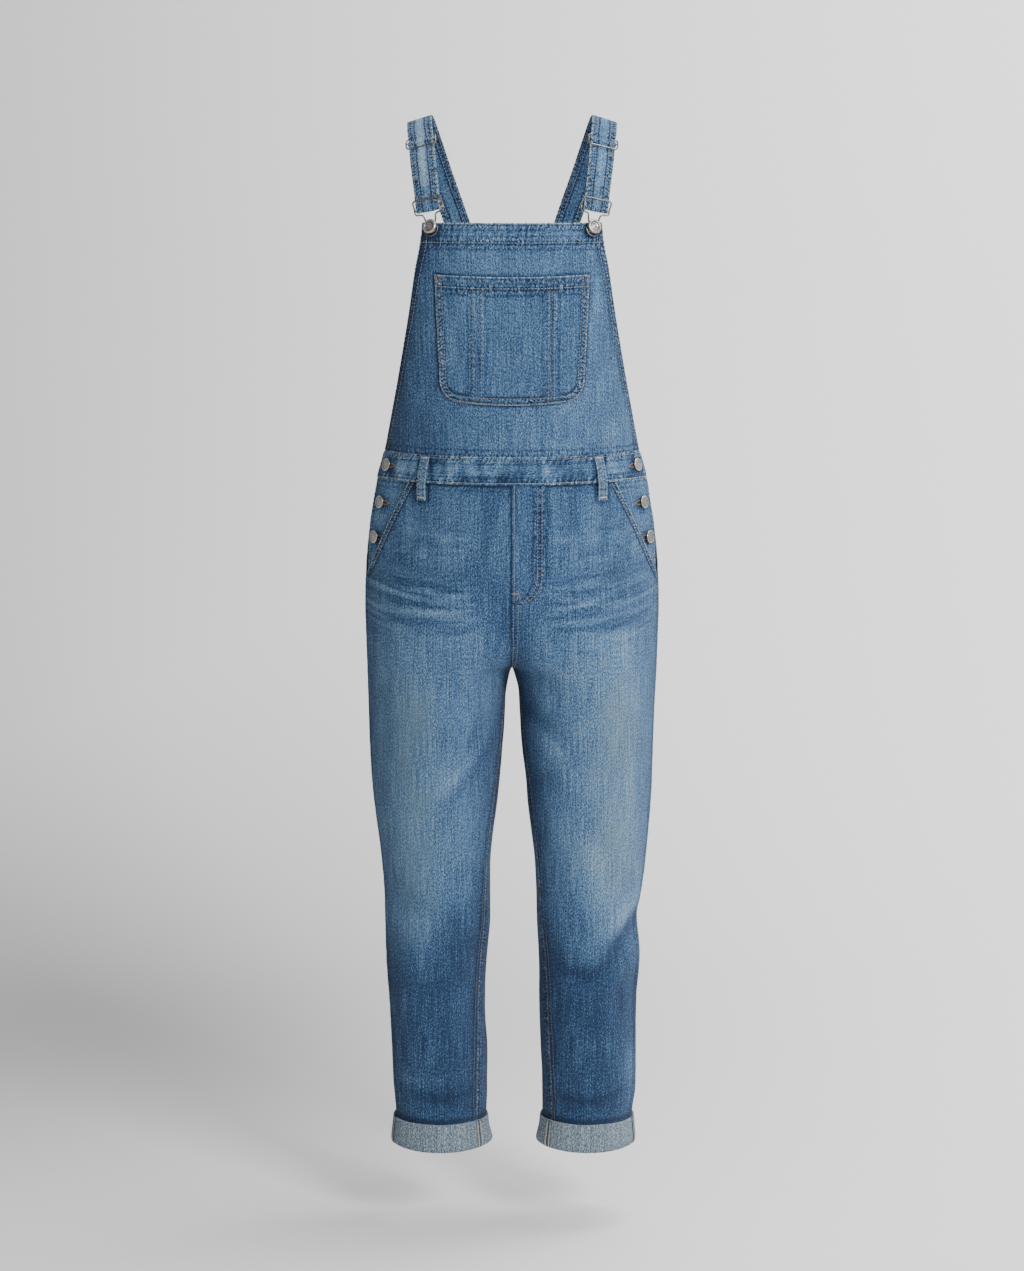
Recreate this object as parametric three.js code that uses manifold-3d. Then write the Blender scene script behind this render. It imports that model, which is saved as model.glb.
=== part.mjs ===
// Denim dungarees, hollow and worn, filled out with nobody in them.
// Millimetres, +Z up. The front faces -Y and +X is the viewer's right, so L is the side with X below 0.
// The origin is midway between the two straps where they cross the shoulders.
import * as THREE from 'three';
import Module from 'manifold-3d';
import { mergeVertices } from 'three/addons/utils/BufferGeometryUtils.js';

const wasm = await Module();
wasm.setup();

// ---------- driving dimensions ----------
const CLOTH = 1.2;            // one thickness of denim
const DOUBLE = 2.4;           // two thicknesses: straps, waistband, loops, hems
const GAP = 0.3;              // between pieces at a seam
const WAIST_TOP = -443;       // bib to waistband seam
const WAIST_BOTTOM = -480;    // waistband to trouser seam
const CROTCH = -736;
const HEM = -1383;            // lower edge of the leg cloth, hidden in the cuff
const CUFF_TOP = -1361, CUFF_BOTTOM = -1399.4;
const CUFF_WALL = 2.6, CUFF_STAND = 0.8;
const BIB_TOP = -138, BIB_EXP = 2.3;
const BACK_BIB_TOP = -262;
const POCKET = { top: -205, bottom: -370, halfTop: 100, halfBottom: 93, corner: 26, lift: 0.5 };
const SLANT = { x0: 137, z0: -480, x1: 196.5, z1: -614 };
const BEARER_UNDER = 28;      // how far a bearer runs on under the slanted mouth
const FLY = { z0: -481, z1: -628, x0: 2, x1: 41, corner: 34 };
const LOOP = { width: 13.6, topX: 113, bottomX: 119, topZ: -443.4, bottomZ: -503, stand: 3.4, wall: 2.2 };
const STRAP = { width: 34, thick: DOUBLE };
const WIRE = 2.2;             // diameter of the wire of sliders and clasps
const SLIDER = { width: 42, height: 19 };
const CLASP = { width: 42, bars: 12.5, neck: 18, ring: 4.7 };
const SIDE_BUTTON = { radius: 8.6, thick: 2.6, shank: 3.2 };
const BIB_BUTTON = { radius: 9.2, thick: 3.4, shank: 2.9, stand: 5.6 };

// ---------- tables ----------
// Trunk and legs: [z, out left, in left, out right, in right, front depth, back depth, middle y, p, q].
// out and in are the X of a leg's outer and inner edge, with in below 0 where both halves are one trunk.
const BODY = [
  [-443, 170.0, -170.0, 170.0, -170.0, 103, 92, 0, 2.20, 0.80],
  [-480, 180.5, -180.5, 180.5, -180.5, 104, 96, 0, 2.20, 0.80],
  [-511, 186.0, -186.0, 186.0, -186.0, 107, 103, 0, 2.20, 0.80],
  [-560, 193.0, -192.0, 193.0, -192.0, 112, 114, 0, 2.20, 0.80],
  [-600, 196.2, -172.0, 196.2, -172.0, 115, 122, 0, 2.18, 0.77],
  [-650, 197.4, -121.0, 197.4, -121.0, 117, 126, 0, 2.12, 0.70],
  [-685, 196.5, -75.0, 196.5, -75.0, 116.5, 123.5, 0, 2.08, 0.64],
  [-710, 195.6, -41.0, 195.6, -41.0, 114.5, 119.5, 0, 2.05, 0.60],
  [-725, 195.1, -18.0, 195.1, -18.0, 113, 117, 0, 2.03, 0.57],
  [-736, 194.7, 0.1, 194.7, 0.1, 111.7, 115, 0, 2.01, 0.56],
  [-748, 194.4, 4.6, 194.2, 4.8, 110.2, 113, 0, 2.00, 0.55],
  [-766, 193.9, 7.4, 193.2, 8.6, 107.8, 109.6, 0, 2.00, 0.53],
  [-828, 192.6, 11.8, 191.0, 13.4, 99, 100, 0, 2.00, 0.51],
  [-893, 189.4, 17.4, 189.4, 20.0, 89.5, 91, 0, 2.00, 0.50],
  [-1000, 177.0, 28.5, 181.5, 29.2, 77.5, 79, -5, 2.00, 0.50],
  [-1046, 173.6, 29.8, 175.3, 31.8, 73, 75, -8, 2.00, 0.50],
  [-1076, 173.0, 30.1, 170.0, 33.3, 72, 73, -8, 2.00, 0.50],
  [-1137, 171.9, 34.5, 173.9, 37.2, 69, 70, -4, 2.00, 0.50],
  [-1197, 168.4, 36.1, 170.6, 38.7, 67, 68, 0, 2.00, 0.50],
  [-1259, 165.7, 34.3, 170.3, 38.3, 65, 66, 4, 2.00, 0.50],
  [-1320, 163.3, 34.4, 169.9, 40.5, 63, 64, 7, 2.00, 0.50],
  [-1360, 160.5, 35.8, 165.3, 41.9, 62, 62, 8, 2.00, 0.50],
  [-1400, 162.0, 34.6, 166.0, 40.4, 62, 62, 8, 2.00, 0.50],
];
// Seams of the legs: [z, outseam angle, inseam angle], degrees toward the front from the X axis.
const SEAMS = [
  [-443, -4, 0], [-480, -4, 0], [-600, 0, 0], [-640, 2, 0], [-736, 3, 0], [-760, 3.5, 7], [-800, 5, 12],
  [-893, 7, 18], [-1000, 9, 23], [-1076, 10, 26], [-1197, 12.5, 31], [-1259, 13.5, 35], [-1320, 14.5, 37], [-1400, 16, 37],
];
// Front bib: [z, half width of the cloth, half width of the curve it lies on, depth, q].
const BIB = [
  [-137, 117.0, 150, 105, 0.435], [-164, 120.0, 150, 109, 0.435], [-197, 126.5, 151, 112, 0.44], [-256, 135.5, 153, 113, 0.46],
  [-300, 143.0, 156, 112, 0.50], [-350, 152.0, 161, 108.5, 0.58], [-402, 162.0, 166, 105, 0.70], [-443, 169.9, 170, 103, 0.80],
];
// Back bib: the same columns.
const BACK = [
  [-262, 56.0, 152, 92, 0.45], [-300, 66.0, 154, 93, 0.48], [-350, 90.0, 159, 93.5, 0.56], [-400, 120.0, 165, 93, 0.68],
  [-430, 150.0, 168.5, 92, 0.76], [-443, 169.9, 170, 92, 0.80],
];
// Path of a strap's middle, for the left one: [x, y, z, and the direction from its inner to its outer edge].
const STRAP_PATH = [
  [-31.0, 96.4, -296, -0.95, 0.00, -0.31],
  [-40.0, 96.6, -262, -0.95, 0.00, -0.31],
  [-57.5, 94.5, -200, -0.95, 0.02, -0.31],
  [-75.0, 88.5, -142, -0.95, 0.06, -0.31],
  [-95.0, 74.0, -84, -0.95, 0.10, -0.31],
  [-110.0, 51.0, -38, -0.955, 0.08, -0.30],
  [-119.0, 24.0, -10, -0.955, 0.04, -0.298],
  [-122.0, 0.0, -5, -0.955, 0.00, -0.297],
  [-121.6, -24.0, -12, -0.955, 0.06, -0.28],
  [-119.8, -46.0, -32, -0.955, 0.15, -0.25],
  [-116.5, -64.0, -60, -0.94, 0.24, -0.23],
  [-112.6, -78.0, -90, -0.925, 0.30, -0.225],
  [-109.4, -87.0, -120, -0.921, 0.326, -0.225],
];
const SIDE_BUTTONS = [ // [number, z, X of its middle]
  [1, -461.5, 165.5], [2, -511, 175], [3, -558, 183],
];

// ---------- small helpers ----------
const V = (x, y, z) => new THREE.Vector3(x, y, z);
const rad = (d) => d * Math.PI / 180;
const clamp = (t, a, b) => Math.min(b, Math.max(a, t));
const smooth = (t) => { const s = clamp(t, 0, 1); return s * s * (3 - 2 * s); };
const range = (a, b, n) => Array.from({ length: n + 1 }, (_, i) => a + (b - a) * i / n);
const spow = (v, e) => Math.sign(v) * Math.abs(v) ** e;

// A row of a table at height z: cubic between rows, with slopes that never overshoot.
function rowAt(table, z) {
  const n = table.length;
  const zz = clamp(z, table[n - 1][0], table[0][0]);
  let i = 0;
  while (i < n - 2 && zz < table[i + 1][0]) i++;
  const h = table[i][0] - table[i + 1][0];
  const t = (table[i][0] - zz) / h;
  const slope = (k, c) => {
    if (k <= 0 || k >= n - 1) { const a = Math.max(0, Math.min(n - 2, k === 0 ? 0 : n - 2)); return (table[a + 1][c] - table[a][c]) / (table[a][0] - table[a + 1][0]); }
    const d0 = (table[k][c] - table[k - 1][c]) / (table[k - 1][0] - table[k][0]);
    const d1 = (table[k + 1][c] - table[k][c]) / (table[k][0] - table[k + 1][0]);
    return d0 * d1 <= 0 ? 0 : 2 * d0 * d1 / (d0 + d1);
  };
  return table[0].map((_, c) => {
    if (c === 0) return zz;
    const a = table[i][c], b = table[i + 1][c], m0 = slope(i, c) * h, m1 = slope(i + 1, c) * h;
    const t2 = t * t, t3 = t2 * t;
    return (2 * t3 - 3 * t2 + 1) * a + (t3 - 2 * t2 + t) * m0 + (3 * t2 - 2 * t3) * b + (t3 - t2) * m1;
  });
}

// The trunk and leg surface of one side (-1 left, 1 right) at height z and angle a.
// Angle 0 is the outer side, 90 degrees the front of that leg and 180 degrees its inner side.
function bodySection(side, z) {
  const r = rowAt(BODY, z);
  const out = side < 0 ? r[1] : r[3], inn = side < 0 ? r[2] : r[4];
  return { c: (out + inn) / 2, a: (out - inn) / 2, front: r[5], back: r[6], mid: r[7], p: r[8], q: r[9] };
}
function bodyPoint(side, z, angle) {
  const s = bodySection(side, z);
  const x = s.c + s.a * spow(Math.cos(angle), 2 / s.p);
  const k = spow(Math.sin(angle), 2 * s.q);
  return V(side * x, s.mid - (k > 0 ? s.front : s.back) * k, z);
}
function angleOfX(side, z, x) { // the front angle at which the surface has this distance from the middle
  const s = bodySection(side, z);
  return Math.acos(clamp(spow((x - s.c) / s.a, s.p / 2), -1, 1));
}
// The angle a given distance along the surface from another, at the same height.
function along(side, z, angle, distance) {
  const from = bodyPoint(side, z, angle), way = Math.sign(distance);
  let step = 1e-4;
  while (bodyPoint(side, z, angle + way * step).distanceTo(from) < Math.abs(distance)) step *= 1.15;
  return angle + way * step;
}
const outseam = (z) => rad(rowAt(SEAMS, z)[1]);
const inseam = (z) => rad(rowAt(SEAMS, z)[2]);

// Moves a point of a surface outward along its normal.
function lifted(surface, u, v, off, du, dv, flip) {
  const p = surface(u, v);
  if (off === 0) return p;
  const tu = surface(u + du, v).sub(surface(u - du, v));
  const tv = surface(u, v + dv).sub(surface(u, v - dv));
  const n = tu.cross(tv).normalize().multiplyScalar(flip);
  return p.addScaledVector(n, off);
}
const onBody = (side, z, angle, off) => lifted((a, h) => bodyPoint(side, h, a), angle, z, off, 0.06, 4, -side);

// A bib surface: sign -1 in front, 1 behind, angle 0 at +X.
function bibPoint(table, sign, z, angle) {
  const [, , a, d, q] = rowAt(table, z);
  return V(a * spow(Math.cos(angle), 2 / BIB_EXP), sign * d * Math.abs(Math.sin(angle)) ** (2 * q), z);
}
const onBib = (table, sign, z, angle, off) => lifted((t, h) => bibPoint(table, sign, h, t), angle, z, off, 0.05, 4, sign);
function bibAngle(table, z, x) {
  const a = rowAt(table, z)[2];
  return Math.acos(clamp(spow(x / a, BIB_EXP / 2), -1, 1));
}

// ---------- closed bodies ----------
function body(points, faces) { // faces are polygons; the result is one closed body facing out
  const pos = points.flatMap((p) => [p.x, p.y, p.z]);
  const tri = [];
  for (const f of faces) for (let i = 1; i < f.length - 1; i++) tri.push([f[0], f[i], f[i + 1]]);
  let vol = 0;
  for (const [a, b, c] of tri) vol += points[a].dot(points[b].clone().cross(points[c]));
  const g = new THREE.BufferGeometry();
  g.setAttribute('position', new THREE.Float32BufferAttribute(pos, 3));
  g.setIndex(tri.flatMap(([a, b, c]) => (vol < 0 ? [a, c, b] : [a, b, c])));
  g.computeVertexNormals();
  return g;
}
// A wall between an outer and an inner grid of points of the same size.
function wall(outer, inner) {
  const R = outer.length, C = outer[0].length;
  const pts = [...outer.flat(), ...inner.flat()];
  const o = (i, j) => i * C + j, n = (i, j) => R * C + i * C + j;
  const f = [];
  for (let i = 0; i < R - 1; i++) for (let j = 0; j < C - 1; j++) {
    f.push([o(i, j), o(i, j + 1), o(i + 1, j + 1)], [o(i, j), o(i + 1, j + 1), o(i + 1, j)]);
    f.push([n(i, j), n(i + 1, j + 1), n(i, j + 1)], [n(i, j), n(i + 1, j), n(i + 1, j + 1)]);
  }
  for (let i = 0; i < R - 1; i++) {
    f.push([o(i, 0), o(i + 1, 0), n(i + 1, 0), n(i, 0)]);
    f.push([o(i + 1, C - 1), o(i, C - 1), n(i, C - 1), n(i + 1, C - 1)]);
  }
  for (let j = 0; j < C - 1; j++) {
    f.push([o(0, j + 1), o(0, j), n(0, j), n(0, j + 1)]);
    f.push([o(R - 1, j), o(R - 1, j + 1), n(R - 1, j + 1), n(R - 1, j)]);
  }
  return body(pts, f);
}
// A wall over a grid of (row, column) parameters: at(u, v, off) gives the point.
function sheet(rows, cols, at, outOff, thick) {
  const t = (r, c) => (typeof thick === 'function' ? thick(r, c) : thick);
  const o = (r, c) => (typeof outOff === 'function' ? outOff(r, c) : outOff);
  return wall(
    rows.map((r) => cols.map((c) => at(r, c, o(r, c)))),
    rows.map((r) => cols.map((c) => at(r, c, o(r, c) - t(r, c)))),
  );
}
// A section of points swept along rings; closed joins the last ring to the first.
function sweep(rings, closed) {
  const n = rings[0].length, m = rings.length;
  const f = [];
  for (let i = 0; i < (closed ? m : m - 1); i++) for (let j = 0; j < n; j++) {
    const a = i * n + j, b = i * n + (j + 1) % n, k = ((i + 1) % m) * n;
    f.push([a, b, k + (j + 1) % n], [a, k + (j + 1) % n, k + j]);
  }
  if (!closed) {
    f.push(Array.from({ length: n }, (_, j) => n - 1 - j));
    f.push(Array.from({ length: n }, (_, j) => (m - 1) * n + j));
  }
  return body(rings.flat(), f);
}
// Round wire along a closed path in a plane with this normal.
function wireLoop(points, normal, radius, sides = 7) {
  const m = points.length;
  return sweep(points.map((p, i) => {
    const t = points[(i + 1) % m].clone().sub(points[(i + m - 1) % m]).normalize();
    const s = t.clone().cross(normal).normalize(), n = s.clone().cross(t);
    return range(0, 2 * Math.PI * (sides - 1) / sides, sides - 1).map((a) => p.clone()
      .addScaledVector(s, Math.cos(a) * radius).addScaledVector(n, Math.sin(a) * radius));
  }), true);
}
function wireBar(a, b, radius, normal, sides = 7) {
  const t = b.clone().sub(a).normalize();
  const s = t.clone().cross(normal).normalize();
  return sweep([a, b].map((p) => range(0, 2 * Math.PI * (sides - 1) / sides, sides - 1).map((k) => p.clone()
    .addScaledVector(s, Math.cos(k) * radius).addScaledVector(normal, Math.sin(k) * radius))), false);
}
function solid(geometry) {
  const g = geometry.clone();
  g.deleteAttribute('normal');
  if (g.attributes.uv) g.deleteAttribute('uv');
  const m = mergeVertices(g, 1e-4);
  return new wasm.Manifold(new wasm.Mesh({
    numProp: 3, vertProperties: new Float32Array(m.attributes.position.array), triVerts: new Uint32Array(m.index.array),
  }));
}
function geometryOf(manifold) {
  const m = manifold.getMesh();
  const g = new THREE.BufferGeometry();
  g.setAttribute('position', new THREE.Float32BufferAttribute(Float32Array.from(m.vertProperties), 3));
  g.setIndex(Array.from(m.triVerts));
  g.computeVertexNormals();
  return g;
}

// ---------- materials and the group ----------
const COLOURS = {
  denim: [0x4f7ba6, 0.92, 0], denim_back: [0x47709a, 0.92, 0], denim_reverse: [0xa3b0ba, 0.95, 0],
  button_metal: [0xa9a59c, 0.38, 1], wire_metal: [0x7d7a74, 0.32, 1],
};
const group = new THREE.Group();
function add(name, geometry, slot, place) {
  const [color, roughness, metalness] = COLOURS[slot];
  const mesh = new THREE.Mesh(geometry, new THREE.MeshStandardMaterial({ color, roughness, metalness }));
  mesh.name = name;
  if (place) { mesh.position.copy(place.position); mesh.quaternion.copy(place.quaternion); }
  group.add(mesh);
}
const tag = (side) => (side < 0 ? 'L' : 'R');

// ---------- bibs ----------
// Hems turned in make the cloth double at the bib's top and side edges.
function bibPanel(table, sign, zs, share, hemTop) {
  const at = (z, s, off) => {
    const half = rowAt(table, z)[1];
    return onBib(table, sign, z, bibAngle(table, z, half * s), off);
  };
  const thick = (z, s) => (Math.abs(s) > share || z > hemTop ? DOUBLE : CLOTH);
  return [zs, at, thick];
}
const BIB_COLUMNS = [-1, -0.93, -0.78, -0.62, -0.46, -0.31, -0.155, 0, 0.155, 0.31, 0.46, 0.62, 0.78, 0.93, 1];
{
  const zs = [BIB_TOP, -164, -205, -245, -287, -328, -370, -407, WAIST_TOP + GAP / 2];
  const [rows, at, thick] = bibPanel(BIB, -1, zs, 0.9, -165);
  add('bib_front', sheet(rows, BIB_COLUMNS, at, 0, thick), 'denim');
}
{
  const zs = [BACK_BIB_TOP, -285, -318, -350, -380, -405, -425, WAIST_TOP + GAP / 2];
  const [rows, at, thick] = bibPanel(BACK, 1, zs, 0.9, -283);
  add('bib_back', sheet(rows, BIB_COLUMNS.filter((_, i) => i % 2 === 0 || i === 1 || i === 13), at, 0, thick), 'denim_back');
}
// Patch pocket: it follows the bib's curve, moved out.
{
  const { top, bottom, halfTop, halfBottom, corner, lift } = POCKET;
  const rows = [top, -222, -250, -280, -310, -338, -352, -361, -367, bottom];
  const halfAt = (z) => {
    const side = halfTop + (halfBottom - halfTop) * (top - z) / (top - bottom);
    const into = clamp((bottom + corner - z) / corner, 0, 1);
    return side - corner * (1 - Math.sqrt(1 - into * into * 0.98));
  };
  const at = (z, s, off) => {
    const x = halfAt(z) * s;
    const sag = z - 2.6 * (1 - s * s) * smooth((z - bottom) / 60) - 5 * (1 - s * s) * smooth((bottom + 40 - z) / 40);
    return onBib(BIB, -1, sag, bibAngle(BIB, sag, x), off);
  };
  add('bib_pocket', sheet(rows, range(-1, 1, 12), at, (z) => CLOTH + lift + (z > -221 ? 0.6 : 0), (z) => (z > -221 ? CLOTH + 0.6 : CLOTH)), 'denim');
}

// ---------- waistband ----------
for (const front of [1, 0]) {
  const n = 13;
  const cols = range(0, 2 * n, 2 * n);
  const at = (z, j, off) => {
    const side = j < n ? -1 : 1;
    const t = j < n ? j / n : (2 * n - j) / n;       // 0 at the side, 1 at the middle
    const seam = along(side, z, outseam(z), front ? GAP / 2 : -GAP / 2);
    return onBody(side, z, seam + ((front ? 1 : -1) * Math.PI / 2 - seam) * t, off);
  };
  add(front ? 'waistband_front' : 'waistband_back', sheet([WAIST_TOP - GAP / 2, -461.5, WAIST_BOTTOM + GAP / 2], cols, at, 0.6, DOUBLE), front ? 'denim' : 'denim_back');
}

// ---------- trousers ----------
const slantX = (z) => {
  const t = (SLANT.z0 - z) / (SLANT.z0 - SLANT.z1);
  return SLANT.x0 + (SLANT.x1 - SLANT.x0) * (t + 0.18 * t * (1 - t));
};
const LEG_ROWS = [WAIST_BOTTOM - GAP / 2, -505, -532, -560, -588, -614, -640, -668, -694, -712, -725, -736, -752, -790,
  -840, -893, -946, -1000, -1046, -1076, -1108, -1150, -1200, -1259, -1320, CUFF_TOP, HEM];
function frontStart(side, z) {
  const seam = along(side, z, outseam(z), GAP / 2);
  if (z < SLANT.z1) return seam;
  return Math.max(seam, angleOfX(side, z, slantX(z)));
}
function innerEnd(side, z) { // where a leg meets the other leg above the crotch, or its own inseam below it
  return z > CROTCH ? angleOfX(side, z, GAP / 2) : along(side, z, Math.PI - inseam(z), -GAP / 2);
}
function backSpan(side, z) {
  const a = along(side, z, outseam(z), -GAP / 2);
  return [a, z > CROTCH ? -angleOfX(side, z, GAP / 2) : along(side, z, -Math.PI - inseam(z), GAP / 2)];
}
for (const side of [-1, 1]) {
  const L = tag(side);
  const cols = range(0, 1, 10);
  const frontAt = (z, t, off) => {
    const a = frontStart(side, z);
    return onBody(side, z, a + (innerEnd(side, z) - a) * t, off);
  };
  add(`front_leg_${L}`, sheet(LEG_ROWS, cols, frontAt, 0, CLOTH), 'denim');
  const backAt = (z, t, off) => {
    const [a, b] = backSpan(side, z);
    return onBody(side, z, a + (b - a) * t, off);
  };
  add(`back_leg_${L}`, sheet(LEG_ROWS, cols, backAt, 0, CLOTH), 'denim_back');

  // Pocket bearer: level with the trousers at the side seam, under the front at the slanted mouth.
  const rows = [WAIST_BOTTOM - GAP / 2, -505, -532, -560, -588, -614, -632];
  const bearerAt = (z, t, off) => {
    const seam = along(side, z, outseam(z), GAP / 2);
    const inner = angleOfX(side, z, slantX(Math.max(z, SLANT.z1)) - BEARER_UNDER);
    return onBody(side, z, seam + (inner - seam) * t, off);
  };
  const sunk = (z, t) => {
    const p = bearerAt(z, t, 0);
    const d = Math.abs(p.x) - slantX(Math.max(z, SLANT.z1));
    return -(CLOTH + 1.1) * (1 - (z < -600 ? 0 : smooth((d - 6) / 20)));
  };
  add(`pocket_bearer_${L}`, sheet(rows, range(0, 1, 7), bearerAt, sunk, CLOTH), 'denim');

  // Underlap behind the side opening, sewn to the back and running forward under the front.
  const lapRows = [WAIST_TOP - 1, -480, -511, -540, -570, -600];
  const lapAt = (z, t, off) => onBody(side, z, rad(-14) + rad(44) * t, off);
  add(`side_placket_${L}`, sheet(lapRows, range(0, 1, 5), lapAt, -5.0, CLOTH), 'denim_back');

  // Belt loops: a strip that stands off the waistband between its two sewn ends.
  for (const front of [1, 0]) {
    const arc = [ // height along the strip, how far its inner face stands off
      [0, 0.9], [0.1, 0.9], [0.24, LOOP.stand + 0.9], [0.5, LOOP.stand + 1.6], [0.76, LOOP.stand + 0.9], [0.9, 0.9], [1, 0.9],
    ];
    const rings = arc.map(([t, stand]) => {
      const z = LOOP.topZ + (LOOP.bottomZ - LOOP.topZ) * t;
      const x = (LOOP.topX + (LOOP.bottomX - LOOP.topX) * t) * (front ? 1 : 0.8);
      const zIn = clamp(z, -560, WAIST_TOP);
      const edge = (w, off) => {
        const a = (front ? 1 : -1) * angleOfX(side, zIn, x);
        const m = onBody(side, zIn, a, off);
        const near = onBody(side, zIn, a + 0.02, off).sub(onBody(side, zIn, a - 0.02, off)).normalize();
        m.addScaledVector(near, w);
        m.z = z;
        return m;
      };
      return [edge(-LOOP.width / 2, stand), edge(LOOP.width / 2, stand), edge(LOOP.width / 2, stand + LOOP.wall), edge(-LOOP.width / 2, stand + LOOP.wall)];
    });
    add(`belt_loop_${front ? 'F' : 'B'}${L}`, sweep(rings, false), front ? 'denim' : 'denim_back');
  }

  // Cuff: the leg's end turned up twice, a thick ring standing a little off the leg and closed under its edge.
  // Its columns are the leg's own, so its faces follow the leg's.
  const ring = (z) => {
    const a = frontStart(side, z), b = innerEnd(side, z), [c, d] = backSpan(side, z);
    return [...cols.map((t) => (t === 0 ? (a + c) / 2 : t === 1 ? (b + d + 2 * Math.PI) / 2 : a + (b - a) * t)),
      ...cols.slice(1, -1).map((t) => c + (d - c) * t).reverse()];
  };
  const profile = [ // [z, distance out from the leg's surface]
    [CUFF_TOP, CUFF_STAND], [CUFF_TOP - 0.4, CUFF_STAND + CUFF_WALL * 0.75], [-1368, CUFF_STAND + CUFF_WALL + 0.6], [-1392, CUFF_STAND + CUFF_WALL + 0.4],
    [CUFF_BOTTOM, CUFF_STAND + CUFF_WALL - 0.9], [CUFF_BOTTOM, -1.4], [HEM - 2.2, -1.4], [HEM - 0.6 - GAP, -0.4], [HEM - GAP - 0.6, CUFF_STAND - 0.2],
  ];
  const rings = range(0, 19, 19).map((j) => profile.map(([z, off]) => onBody(side, z, ring(z)[j], off)));
  add(`cuff_${L}`, sweep(rings, true), 'denim_reverse');
}
// Mock fly: a strip on the front of the viewer's right, rounded at its lower outer corner.
{
  const rows = [FLY.z0, -510, -540, -570, -594, -610, -621, FLY.z1];
  const at = (z, t, off) => {
    const into = clamp((FLY.z1 + FLY.corner - z) / FLY.corner, 0, 1);
    const x1 = FLY.x1 - (FLY.x1 - FLY.x0 - 6) * (1 - Math.sqrt(1 - into * into * 0.97));
    return onBody(1, z, angleOfX(1, z, FLY.x0 + (x1 - FLY.x0) * t), off);
  };
  add('fly', sheet(rows, range(0, 1, 4), at, CLOTH + 0.4, CLOTH), 'denim');
}

// ---------- straps, sliders and clasps ----------
const pathCurve = new THREE.CatmullRomCurve3(STRAP_PATH.map((r) => V(r[0], r[1], r[2])), false, 'centripetal');
const wideCurve = new THREE.CatmullRomCurve3(STRAP_PATH.map((r) => V(r[3], r[4], r[5])), false, 'centripetal');
const STEPS = STRAP_PATH.length - 1;
function strapFrame(u) { // u runs from 0 at the back to 1 at the clasp
  const p = pathCurve.getPoint(u), t = pathCurve.getTangent(u).normalize();
  const w = wideCurve.getPoint(u);
  w.addScaledVector(t, -w.dot(t)).normalize();
  const n = w.clone().cross(t).normalize(); // out of the body
  return { p, t, w, n };
}
const SLIDER_AT = 9.15 / STEPS;
const HALF = WIRE / 2 + STRAP.thick / 2;
const mirrored = (points, side) => (side < 0 ? points : points.map((p) => V(-p.x, p.y, p.z)));
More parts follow.
